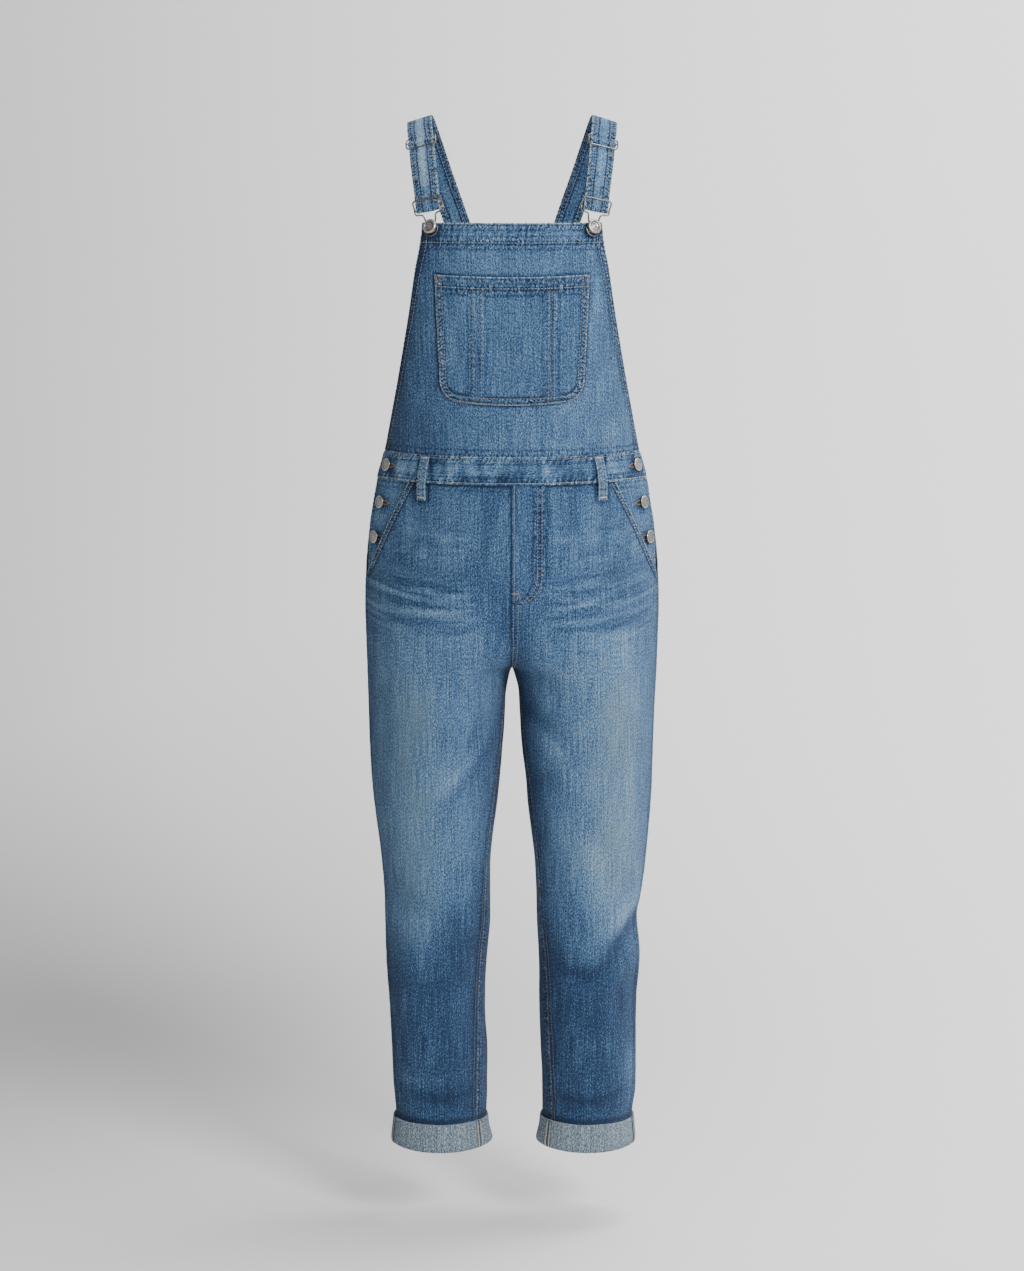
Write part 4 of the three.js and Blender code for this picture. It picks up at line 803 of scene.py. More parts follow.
def bartack(group, centre, direction, normal, length, width=1.6, material=None, count=None):
    """A dense bar of thread laid across a line."""
    direction, normal = unit(np.asarray(direction, float)), unit(np.asarray(normal, float))
    side = np.cross(normal, direction)
    count = count or int(length / 0.55)
    t = np.linspace(-length / 2, length / 2, count)
    zig = np.where(np.arange(count) % 2 == 0, 1, -1)[:, None]
    c = np.asarray(centre) + t[:, None] * direction
    stitches(group, material or ORANGE, c, side + direction * 0.18 * zig, np.tile(normal, (count, 1)), width, 0.62, 0.7, dense=True)
    stitches(group, material or ORANGE, np.asarray(centre)[None] + np.array([[0, 0, 0]]), direction[None], normal[None], length, width * 0.7, 0.8)


# ---------------------------------------------------------------- bib
def bib_relief(x, z):
    return 1.1 * noise(x, z, 85, 21) + 0.45 * noise(x, z, 34, 22) + folds(BIB_CREASES, x, z)


def pocket_outline(count):
    """The pocket's edge as seen from the front, in x and z."""
    z = np.linspace(POCKET_TOP, POCKET_BOTTOM, count)
    into = np.clip((POCKET_BOTTOM + POCKET_CORNER - z) / POCKET_CORNER, 0, 1)
    half = POCKET_HALF_TOP + (POCKET_HALF_BOTTOM - POCKET_HALF_TOP) * (POCKET_TOP - z) / (POCKET_TOP - POCKET_BOTTOM) - POCKET_CORNER * (1 - np.sqrt(1 - into ** 2 * 0.98))
    t = np.linspace(-1, 1, count)
    bottom = np.stack([t * half[-1], POCKET_BOTTOM - 5 * (1 - t * t)], -1)
    top = np.stack([t * POCKET_HALF_TOP, POCKET_TOP + 0.8 - 2.6 * (1 - t * t)], -1)
    return np.concatenate([np.stack([half + 0.5, z], -1), np.stack([-half - 0.5, z], -1), bottom - [0, 0.8], top])


def make_bib(name, table, sign, top, step):
    us = spaced(300, step) * 2 - 1
    vs = top + (WAIST_TOP + GAP / 2 - top) * spaced(abs(WAIST_TOP - top), step)
    V, U = np.meshgrid(vs, us, indexing="ij")
    half = table(V)[..., 0]
    x = half * U
    a = bib_angle(table, V, x)
    base, nrm = bib_point(table, sign, V, a), bib_normal(table, sign, V, a)
    tmp = Panel("tmp", base, nrm, 0 * V, CLOTH, 0)
    side_e, top_e, low_e = np.minimum(tmp.edges[0], tmp.edges[1]), tmp.edges[2], tmp.edges[3]
    hem = 26.0 if sign < 0 else 22.0
    band = 0.8 * (1 - smooth((side_e - 11) / 2.0)) + 0.9 * (1 - smooth((top_e - hem) / 2.0)) * smooth(side_e / 9)
    r_side = rope(tmp.T, side_e, 6.2, 11, 5 if sign < 0 else 9)
    r_top = rope(tmp.S, np.abs(top_e - hem * 0.5) * 0.7, 8.5, 13, 7, 0.25)
    r_hem = rope(tmp.S, np.abs(top_e - hem), 6.5, 6, 8, 0.4)
    r_low = rope(tmp.S, low_e, 9, 12, 13, 0.3)
    off = band + bib_relief(x, V) * smooth(side_e / 14) + 0.55 * r_side + 0.42 * r_top * (top_e < hem + 6) + 0.35 * r_hem + 0.35 * r_low
    # The last term darkens it toward both side edges, where the bib turns away from the lamps: painted shade.
    fade = 0.40 + 0.035 * noise(x, V, 70, 31) + 0.03 * noise(x, V, 22, 32) + 0.05 * smooth((V + 300) / 100) - 0.05 * smooth((np.abs(U) - 0.75) / 0.2)
    fade = fade + 0.05 * (1 - smooth((side_e - 10) / 3)) + 0.03 * (1 - smooth((top_e - hem) / 3))
    wear = 0.45 * r_side + 0.35 * r_top * (top_e < hem + 6) + 0.30 * r_hem + 0.28 * r_low
    # Pale rubbed edges at the sides and top; the dark lines just inside the side hems and under the top hem are painted
    # shade.
    wear = wear + 0.55 * np.exp(-((side_e - 0.6) / 0.9) ** 2) - 0.40 * np.exp(-((side_e - 12.6) / 1.4) ** 2) - 0.30 * np.exp(-((top_e - hem - 1.4) / 1.4) ** 2) + 0.4 * np.exp(-((top_e - 0.6) / 0.9) ** 2)
    if sign < 0:
        ring = pocket_outline(60)
        near = np.min(np.hypot(x[..., None] - ring[:, 0], V[..., None] - ring[:, 1]), -1)
        # A painted shadow round the pocket's outline.
        wear = wear - 0.85 * np.exp(-(near / 2.3) ** 2)
        # Painted shade and light: the left side and its edge darker and the right a little paler, as the key lamp
        # stands to the right; also a darker band below the top hem.
        fade = fade - 0.12 * smooth((-24 - x) / 90) - 0.28 * np.exp(-(side_e / 8) ** 2) * (x < 0) + 0.010 * smooth((x - 20) / 80) - 0.05 * np.exp(-((V + 190) / 22) ** 2) - 0.03 * (1 - smooth((side_e - 11) / 3))
        # Painted shadows round the two bib buttons.
        wear = wear - 0.9 * np.exp(-(np.hypot(np.abs(x) - 103.5, V + 149) / 12.5) ** 4)
    lines = nearest((tmp.T + 400 * (U > 0), side_e, 1.8), (tmp.S, top_e, 1.3), (tmp.S + 700, np.abs(top_e - hem) + 1, 1.0), (tmp.S + 900, low_e + 1, 0.8))
    return Panel(name, base, nrm, off, CLOTH + band, fade, wear, pucker=lines)


STEP = 2.6
bib = make_bib("bib_front_cloth", T_BIB, -1, BIB_TOP, STEP)
bib.build(DENIM)
sew("bib_stitches", bib.down(0, 11.0, 0.01, 1), seed=2)
sew("bib_stitches", bib.down(1, 11.0, 0.01, 1), seed=3)
sew("bib_stitches", bib.down(0, 2.0, 0.01, 1), seed=2, material=THREAD_BLUE)
sew("bib_stitches", bib.down(1, 2.0, 0.01, 1), seed=3, material=THREAD_BLUE)
sew("bib_stitches", bib.across(0, 26.0, 0.01, 0.99), seed=4)
sew("bib_stitches", bib.across(0, 2.2, 0.01, 0.99), seed=5, material=THREAD_BLUE)

back_bib = make_bib("bib_back_cloth", T_BACK, 1, BACK_BIB_TOP, STEP * 1.3)
back_bib.build(DENIM)
for e in (0, 1):
    sew("back_bib_stitches", back_bib.down(e, 10.0, 0.01, 1), seed=2 + e)
    sew("back_bib_stitches", back_bib.down(e, 2.0, 0.01, 1), seed=4 + e, material=THREAD_BLUE)
sew("back_bib_stitches", back_bib.across(0, 22.0, 0.01, 0.99), seed=4)


def make_pocket():
    us = spaced(200, STEP) * 2 - 1
    vs = POCKET_TOP + (POCKET_BOTTOM - POCKET_TOP) * spaced(165, STEP, near=(0.0, 0.35, 0.9, 1.8, 3.0, 4.5, 6.0, 8.0, 10.0, 12.5, 15.0, 18.0))
    V, U = np.meshgrid(vs, us, indexing="ij")
    side = POCKET_HALF_TOP + (POCKET_HALF_BOTTOM - POCKET_HALF_TOP) * (POCKET_TOP - V) / (POCKET_TOP - POCKET_BOTTOM)
    into = np.clip((POCKET_BOTTOM + POCKET_CORNER - V) / POCKET_CORNER, 0, 1)
    half = side - POCKET_CORNER * (1 - np.sqrt(1 - into ** 2 * 0.98))
    x = half * U
    z = V - 2.6 * (1 - U * U) * smooth((V - POCKET_BOTTOM) / 60) - 5 * (1 - U * U) * smooth((POCKET_BOTTOM + 40 - V) / 40)
    a = bib_angle(T_BIB, z, x)
    base, nrm = bib_point(T_BIB, -1, z, a), bib_normal(T_BIB, -1, z, a)
    tmp = Panel("tmp", base, nrm, 0 * V, CLOTH, 0)
    # distance to the outline, sides and bottom, in the flat
    e = np.full(V.shape, 1e9)
    loop = np.concatenate([base[:, 0], base[-1, 1:-1], base[::-1, -1]])
    for k in range(0, len(loop), 2):
        e = np.minimum(e, np.linalg.norm(base - loop[k], axis=-1))
    top = tmp.edges[2]
    s = np.where(np.minimum(tmp.edges[0], tmp.edges[1]) < tmp.edges[3], tmp.T, tmp.S)
    band = 0.6 * (1 - smooth((e - 9.5) / 2)) + 0.7 * (1 - smooth((top - 15.5) / 2)) * smooth(e / 8)
    r_edge = rope(s, e, 6.0, 10, 41)
    r_top = rope(tmp.S, np.abs(top - 8), 7.5, 9, 43, 0.3)
    pairs = np.zeros(V.shape)
    for px in (-50.6, -40.0, 47.3, 54.4):
        pairs += np.exp(-((x - px) / 1.8) ** 2)
    pucker = pairs * np.sin(2 * PI * z / 6.5 + 3 * noise(x, z, 12, 44))
    off = CLOTH + 0.55 + band + bib_relief(x, z) * 0.9 + 0.45 * r_edge + 0.35 * r_top - 0.35 * pairs + 0.16 * pucker
    fade = 0.358 + 0.035 * noise(x, V, 60, 45) + 0.03 * noise(x, V, 20, 46) + 0.04 * (1 - smooth((e - 9) / 3))
    # Pale rubbed edges; the dark lines in the stitch groove, inside the hem band and under the top hem are painted
    # shade.
    wear = 0.6 * r_edge + 0.5 * r_top + 0.8 * np.exp(-((e - 0.6) / 0.8) ** 2) - 0.25 * np.exp(-((e - 3.0) / 0.9) ** 2) - 0.35 * np.exp(-((e - 10.8) / 1.2) ** 2) - 0.3 * np.exp(-((top - 17) / 1.2) ** 2)
    wear = wear + 0.45 * np.exp(-((top - 0.5) / 0.9) ** 2)
    # Painted light and shade on either side of each divider's stitching.
    for px in (-50.6, -40.0, 47.3, 54.4):
        wear = wear + 0.32 * np.exp(-((x - px - 1.6) / 1.2) ** 2) * (top > 16) - 0.30 * np.exp(-((x - px + 1.4) / 1.2) ** 2) * (top > 16)
    lines = nearest((s + 400 * (U > 0), e, 1.5), (tmp.S, np.abs(top - 15.5) + 1, 1.2), (tmp.S + 600, top, 0.9))
    for px in (-50.6, -40.0, 47.3, 54.4):
        lines = nearest(lines, (z + 9 * px, np.abs(x - px) + 2.9, 0.55))
    p = Panel("bib_pocket_cloth", base, nrm, off, CLOTH + band * 0.8, fade, wear, pucker=lines)
    p.x, p.e = x, e
    return p


pocket = make_pocket()
pocket.build(DENIM)


def pocket_round(inset):
    """The line of stitches round the pocket's sides and bottom."""
    R, C = pocket.out.shape[:2]
    side = POCKET_HALF_TOP
    zs = np.linspace(POCKET_TOP - 1, POCKET_BOTTOM + POCKET_CORNER, 120)
    t = np.linspace(0, PI / 2, 40)[1:]
    pts = []
    slope = (POCKET_HALF_BOTTOM - POCKET_HALF_TOP) / (POCKET_BOTTOM - POCKET_TOP)
    for z in zs:
        pts.append((POCKET_HALF_TOP + slope * (z - POCKET_TOP) - inset, z))
    hb, r = POCKET_HALF_BOTTOM + 1, POCKET_CORNER
    for a in t:
        pts.append((hb - r + (r - inset) * math.cos(a), POCKET_BOTTOM + r - (r - inset) * math.sin(a)))
    right = np.array(pts)
    bottom = np.stack([np.linspace(hb - r, -(hb - r), 160), np.full(160, POCKET_BOTTOM + inset)], -1)[1:-1]
    left = right[::-1] * [-1, 1]
    line = np.concatenate([right, bottom, left])
    u = line[:, 0] / POCKET_HALF_TOP
    x, V = line[:, 0], line[:, 1]
    z = V - 2.6 * (1 - np.clip(u, -1, 1) ** 2) * smooth((V - POCKET_BOTTOM) / 60) - 5 * (1 - np.clip(u * 1.08, -1, 1) ** 2) * smooth((POCKET_BOTTOM + 40 - V) / 40)
    return on_pocket(x, z)


def on_pocket(x, z):
    a = bib_angle(T_BIB, z, x)
    p, n = bib_point(T_BIB, -1, z, a), bib_normal(T_BIB, -1, z, a)
    flat, nf = pocket.out.reshape(-1, 3), pocket.n_out.reshape(-1, 3)
    res, rn = p.copy(), n.copy()
    for i in range(len(p)):
        d = ((flat - (p[i] + n[i] * 2.2)) ** 2).sum(-1)
        k = np.argpartition(d, 4)[:4]
        w = 1 / (d[k] + 0.05)
        h = ((flat[k] - p[i]) @ n[i] * w).sum() / w.sum()
        res[i] = p[i] + n[i] * h
        rn[i] = unit(n[i])
    return res, rn


sew("pocket_stitches", pocket_round(2.2), seed=6)
sew("pocket_stitches", pocket_round(8.6), seed=7)
sew("pocket_stitches", pocket_round(0.7), seed=8, pitch=3.3, length=3.4, width=0.5, height=0.3, holes=False)
sew("pocket_stitches", pocket.across(0, 15.2, 0.02, 0.98), seed=8)
sew("pocket_stitches", pocket.across(0, 2.2, 0.01, 0.99), seed=8, material=THREAD_BLUE)
for way in (-1, 1):
    cp, cn = on_pocket(np.array([way * 97.0, way * 91.0]), np.array([POCKET_TOP - 8.0, POCKET_TOP - 1.9]))
    bartack("pocket_stitches", cp[0], [0.05 * way, 0, 1], cn[0], 11.0, 1.5, material=TAN)
    bartack("pocket_stitches", cp[1], [1, 0, 0], cn[1], 8.0, 1.5, material=TAN)
for px in (-50.6, -40.0, 47.3, 54.4):
    zz = np.linspace(POCKET_TOP - 19, POCKET_BOTTOM - 3.5, 160)
    sew("pocket_stitches", on_pocket(np.full(zz.shape, px), zz), seed=int(px) % 7 + 1, width=0.6)


# ---------------------------------------------------------------- waistband
def make_band(name, front):
    L = 545
    t = spaced(L, STEP * 1.1, near=(0.0, 0.35, 0.9, 1.8, 3.0)) * 2 - 1
    vs = WAIST_TOP - GAP / 2 + (WAIST_BOTTOM - WAIST_TOP + GAP) * spaced(37, 2.2, near=(0.0, 0.35, 0.9, 1.8, 3.0, 4.5))
    V, U = np.meshgrid(vs, t, indexing="ij")
    pts = []
    for side in (-1, 1):
        seam = along(side, V, outseam(V), (GAP / 2) * (1 if front else -1))
        a = seam + ((1 if front else -1) * PI / 2 - seam) * (1 - np.abs(U))
        pts.append((body_point(side, V, a), body_normal(side, V, a)))
    left = (U < 0)[..., None]
    base, nrm = np.where(left, pts[0][0], pts[1][0]), np.where(left, pts[0][1], pts[1][1])
    nrm = unit(np.where(np.abs(U)[..., None] < 0.004, nrm * [0, 1, 1], nrm))
    tmp = Panel("tmp", base, nrm, 0 * V, DOUBLE, 0)
    top, low = tmp.edges[2], tmp.edges[3]
    seed = 51 if front else 61
    r1, r2 = rope(tmp.S, top, 8.0, 9, seed, 0.4), rope(tmp.S, low, 8.5, 12, seed + 3, -0.4)
    swell = 0.35 * noise(tmp.S, V, 30, seed + 5) + 0.95 * noise(tmp.S + 0.35 * V, V * 0.22, 8.5, seed + 6)
    off = 0.6 + 0.45 * r1 + 0.6 * r2 + swell * smooth(top / 5) * smooth(low / 5) - 0.45 * np.exp(-((top - 3.2) / 1.2) ** 2) - 0.45 * np.exp(-((low - 3.2) / 1.2) ** 2)
    fade = 0.42 + 0.06 * noise(tmp.S, V, 40, seed + 7) + 0.05 * noise(tmp.S, V, 12, seed + 8)
    wear = 0.55 * r1 + 0.75 * r2 + 0.56 * swell + 0.16 * noise(tmp.S, V * 0.3, 5.0, seed + 9) + 0.25 * np.exp(-((top - 0.6) / 0.9) ** 2) + 0.12 * np.exp(-((low - 0.6) / 0.9) ** 2)
    # Painted shade beside the stitched rows.
    wear = wear - 0.2 * np.exp(-((top - 4.6) / 1.2) ** 2) - 0.45 * np.exp(-((low - 4.6) / 1.2) ** 2)
    # Painted shadows beside the belt loops.
    for lx in (-1, 1):
        away = np.abs(base[..., 0] - lx * (115 if front else 92))
        wear = wear - 1.0 * np.exp(-((away - 8.0) / 1.7) ** 2)
    # A painted shadow round the first side button.
    for _, bz, bx in SIDE_BUTTONS[:1]:
        wear = wear - 0.8 * np.exp(-(np.hypot(np.abs(base[..., 0]) - bx, V - bz + 1.5) / 10.0) ** 4)
    lines = nearest((tmp.S + seed * 10, top, 1.0), (tmp.S + 800, low, 0.9))
    p = Panel(name, base, nrm, off, DOUBLE, fade, wear, weave_turn=PI / 2, pucker=lines)
    p.build(DENIM, reverse_inside=False)
    g = "waistband_stitches" if front else "waistband_back_stitches"
    sew(g, p.across(0, 3.2, 0.004, 0.996), seed=3, pitch=3.8, length=2.9)
    sew(g, p.across(1, 2.2, 0.004, 0.996), seed=4, pitch=3.3, length=3.1, width=1.05)
    for e in (0, 1):
        sew(g, p.down(e, 3.0, 0.1, 0.9), seed=5)
    return p


band_front = make_band("waistband_front_cloth", True)
band_back = make_band("waistband_back_cloth", False)


# ---------------------------------------------------------------- trousers
def parting(side, z, x, way):
    """How far out the surface moves where the legs part, so that it turns gently there."""
    out = np.zeros(z.shape)
    rows = np.abs(z[:, 0] + 733) < 75
    zz, ax = z[rows], np.abs(x[rows])
    y = lambda d: body_point(side, zz + d, way * angle_of_x(side, zz + d, ax))[..., 1]
    mean = sum(y(d) for d in (-32, -24, -16, -8, 0, 8, 16, 24, 32)) / 9
    inside = smooth((ax - 34) / 34) * (1 - smooth((ax - 174) / 14))
    out[rows] = -way * (mean - y(0)) * inside * np.exp(-((zz + 733) / 44) ** 4)
    return out


legs = {}
LEG_STEP = 5.0
for side in (-1, 1):
    tag = "L" if side < 0 else "R"
    for front in (True, False):
        zlen = abs(HEM - WAIST_BOTTOM)
        vs = WAIST_BOTTOM - GAP / 2 + (HEM - WAIST_BOTTOM + GAP / 2) * spaced(zlen, LEG_STEP, near=(0.0, 0.9, 2.0, 4.0, 6.5))
        if front:
            vs = np.concatenate([vs[vs > -596], np.arange(-597.0, -692.0, -2.3), vs[vs < -694]])
        vs = np.concatenate([vs[vs > -722], np.arange(-723.0, -727.0, -2.0), np.arange(-727.5, -738.5, -1.0), vs[vs < -740]])
        us = spaced(290 if front else 380, LEG_STEP, near=(0.0, 0.4, 1.0, 2.2, 3.6, 5.2, 7.2, 9.5, 12.0))
        V, U = np.meshgrid(vs, us, indexing="ij")
        z1 = vs
        if front:
            a0, a1 = front_start(side, z1), inner_end(side, z1)
        else:
            a0, a1 = back_span(side, z1)
        A = a0[:, None] + (a1 - a0)[:, None] * U
        base, nrm = body_point(side, V, A), body_normal(side, V, A)
        tmp = Panel("tmp", base, nrm, 0 * V, CLOTH, 0)
        e0, e1, et, eb = tmp.edges
        x = base[..., 0]
        facing = -nrm[..., 1] if front else nrm[..., 1]
        seed = 70 + (0 if side < 0 else 7) + (0 if front else 3)
        below = V < CROTCH
        slanted = (V > SLANT_Z1) & front
        s_in = rope(tmp.T, e1, 6.5, 6 if front else 7, seed)
        s_out = rope(tmp.T, e0, 6.5, 8, seed + 1)
        s_top = rope(tmp.S, et, 9.5, 14, seed + 2, 0.3)
        table = CREASES if front else BACK_CREASES
        fade_edge = smooth(e0 / 10) * smooth(e1 / 8)
        relief = folds(table, x, V) * smooth((facing + 0.15) / 0.5)
        relief = relief + 1.5 * noise(A * 60, V, 95, seed + 4) + 0.55 * noise(A * 70, V, 38, seed + 5) + 0.22 * noise(A * 80, V * 0.8, 15, seed + 6)
        seam_band = 0.7 * (1 - smooth((e1 - 8) / 3)) * np.where(below & front, 1, 0.55) + 0.6 * (1 - smooth((e0 - (8.5 if True else 8)) / 3))
        off = relief * fade_edge * 0.92 + seam_band * (1 if front else 0.5) + 0.42 * s_in + 0.36 * s_out * np.where(slanted, 1.2, 0.8) + 0.5 * s_top
        off = off - 0.35 * np.exp(-((e1 - (2.2 if front else 99)) / 1.2) ** 2) * below + parting(side, V, x, 1 if front else -1) * np.abs(nrm[..., 1])
        fade = leg_fade_and_shade(x, V, facing, front)
        # The colour follows the folds' relief, paler on ridges and darker in hollows: partly rubbing, partly painted
        # shade.
        wear = 0.34 * s_in + 0.30 * s_out + 0.30 * s_top + 0.028 * relief * smooth((facing + 0.1) / 0.5)
        if not front:
            fade = fade + (0.20 * (1 - smooth(e1 / 40)) + 0.06) * below * smooth((-880 - V) / 140)
        if front:
            # Pale rubbed edges; the dark lines inside the pocket mouth's hem and beside the inseam stitching are
            # painted shade, and the dark line down the left front's middle above the crotch is the fly's painted
            # shadow.
            wear = wear + np.where(slanted, 0.5, 0.15) * np.exp(-((e0 - 0.6) / 0.9) ** 2) - np.where(slanted, 0.35, 0.1) * np.exp(-((e0 - 9.8) / 1.5) ** 2)
            wear = wear - (1.5 if side < 0 else 0.0) * ~below * np.exp(-((e1 - 0.3) / 1.3) ** 2)
            wear = wear + np.where(below, 0.22, 0.0) * np.exp(-((e1 - 0.8) / 1.0) ** 2) - np.where(below, 0.3, 0.1) * np.exp(-((e1 - 4.2) / 2.0) ** 2)
        else:
            # Painted shade along the back's inner seam; a pale rubbed edge at the outseam.
            wear = wear - 0.2 * np.exp(-((e1 - 2) / 2.0) ** 2) + 0.25 * np.exp(-((e0 - 1.0) / 1.2) ** 2)
        # Painted shadows beside and under the belt loops.
        loop = np.abs(np.abs(x) - (118.5 if front else 94.5))
        wear = wear - 1.0 * np.exp(-((loop - 8.0) / 1.9) ** 2) * smooth((V + 507) / 3) - 0.45 * np.exp(-(loop / 8.0) ** 2) * np.exp(-((V + 506) / 3.0) ** 2)
        # Painted shadows under the waistband and above the cuff.
        wear = wear - 0.95 * np.exp(-(et / 2.8) ** 2) - 0.75 * np.exp(-((V + 1358.0) / 4.5) ** 2)
        if front and side < 0:
            # The fly's painted shadow on the left front.
            wear = wear - 0.9 * np.exp(-(e1 / 1.3) ** 2) * (V > CROTCH)
        if front and side > 0:
            # The painted shadow of the fly's edge on the right front.
            wear = wear - 0.5 * np.exp(-((x - 46.0) / 2.0) ** 2) * (V > -604)
        tint = 0.80 * np.exp(-((np.abs(x) - (138 if side < 0 else 142)) / (36 if side < 0 else 26)) ** 2) * smooth((-700 - V) / 90) * smooth((V + (1130 if side < 0 else 1090)) / 110) if front else 0 * V
        tint = np.clip(tint * (0.7 + 0.4 * noise(x, V, 26, 5)), 0, 1)
        lines = nearest((tmp.T + seed * 50, e0, np.where(slanted, 1.4, 0.7)), (tmp.T + seed * 31, e1, np.where(below, 0.9, 0.15)), (tmp.S + seed * 40, et + 1, 0.5))
        p = Panel(f"{'front' if front else 'back'}_leg_{tag}_cloth", base, nrm, off, CLOTH, fade, wear, tint, pucker=lines, mirror=side if front else -side)
        p.A, p.V, p.plumb = A, V, 100.0
        p.build(DENIM)
        legs[tag, front] = p
        rows = len(vs) - 1
        row_of = lambda z: float(np.interp(-z, -vs, np.arange(len(vs)))) / rows
        g = f"{'front' if front else 'back'}_leg_{tag}_stitches"
        if front:
            sew(g, p.down(0, 2.0, 0.002, row_of(SLANT_Z1 + 3)), seed=2)
            sew(g, p.down(0, 8.2, 0.002, row_of(SLANT_Z1 + 14)), seed=3)
            sew(g, p.down(1, 2.2, row_of(CROTCH - 6), 1.0), seed=4, material=TAN)
            sew(g, p.down(1, 7.6, row_of(CROTCH - 10), 1.0), seed=4, material=THREAD_BLUE)
            if side > 0:
                sew(g, p.down(1, 2.2, row_of(-632), row_of(CROTCH)), seed=5)
                sew(g, p.down(1, 8.4, row_of(-618), row_of(CROTCH + 3)), seed=6)
            sew(g, p.down(0, 2.0, row_of(SLANT_Z1 - 8), 1.0), seed=6, material=THREAD_BLUE)
        else:
            sew(g, p.down(0, 2.0, 0.002, 1.0), seed=7, material=THREAD_BLUE)
            if side > 0:
                sew(g, p.down(1, 2.2, 0.002, row_of(CROTCH)), seed=8)
                sew(g, p.down(1, 8.4, 0.002, row_of(CROTCH)), seed=9)

    # the bearer, level with the trousers at the side and under the front at the slanted mouth
    vs = WAIST_BOTTOM - GAP / 2 + (-632 - WAIST_BOTTOM + GAP / 2) * spaced(152, 3.2)
    us = spaced(70, 2.8)
    V, U = np.meshgrid(vs, us, indexing="ij")
    seam = along(side, vs, outseam(vs), GAP / 2)
    inner = angle_of_x(side, vs, slant_x(np.maximum(vs, SLANT_Z1)) - 26)
    A = seam[:, None] + (inner - seam)[:, None] * U
    base, nrm = body_point(side, V, A), body_normal(side, V, A)
    d = np.abs(base[..., 0]) - slant_x(np.maximum(V, SLANT_Z1))
    sunk = -(CLOTH + 1.1) * (1 - np.where(V < -600, 0, smooth((d - 6) / 20)))
    tmp = Panel("tmp", base, nrm, 0 * V, CLOTH, 0)
    r0 = rope(tmp.T, tmp.edges[0], 7, 9, 91)
    off = sunk + (0.35 * r0 + 0.5 * noise(base[..., 0], V, 24, 92)) * smooth(d / 10)
    fade = 0.43 + 0.04 * noise(base[..., 0], V, 24, 93)
    # Darker where the bearer lies under the pocket mouth: painted shade.
    wear = 0.4 * r0 + 0.45 * np.exp(-((tmp.edges[0] - 0.6) / 0.9) ** 2) - 0.6 * (1 - smooth((d + 2) / 6))
    # Painted shadows round the lower side buttons.
    for _, bz, bx in SIDE_BUTTONS[1:]:
        wear = wear - 0.8 * np.exp(-(np.hypot(np.abs(base[..., 0]) - bx, V - bz + 1.5) / 10.0) ** 4)
    p = Panel(f"pocket_bearer_{tag}_cloth", base, nrm, off, CLOTH, fade, wear, pucker=nearest((tmp.T, tmp.edges[0], 1.0), (tmp.S + 90, tmp.edges[2], 0.8)), mirror=side)
    p.A, p.V = A, V
    p.build(DENIM)
    sew(f"front_leg_{tag}_stitches", p.down(0, 3.0, 0.01, 0.72), seed=3)
    legs[tag, "bearer"] = p

    # the underlap behind the side opening
    vs = np.linspace(WAIST_TOP - 1, -600, 40)
    V, U = np.meshgrid(vs, spaced(50, 3.5), indexing="ij")
    A = math.radians(-14) + math.radians(44) * U
    base, nrm = body_point(side, V, A), body_normal(side, V, A)
    p = Panel(f"side_placket_{tag}_cloth", base, nrm, -5.0 + 0.3 * noise(A * 60, V, 20, 94), CLOTH, 0.40 + 0 * V)
    p.build(DENIM)


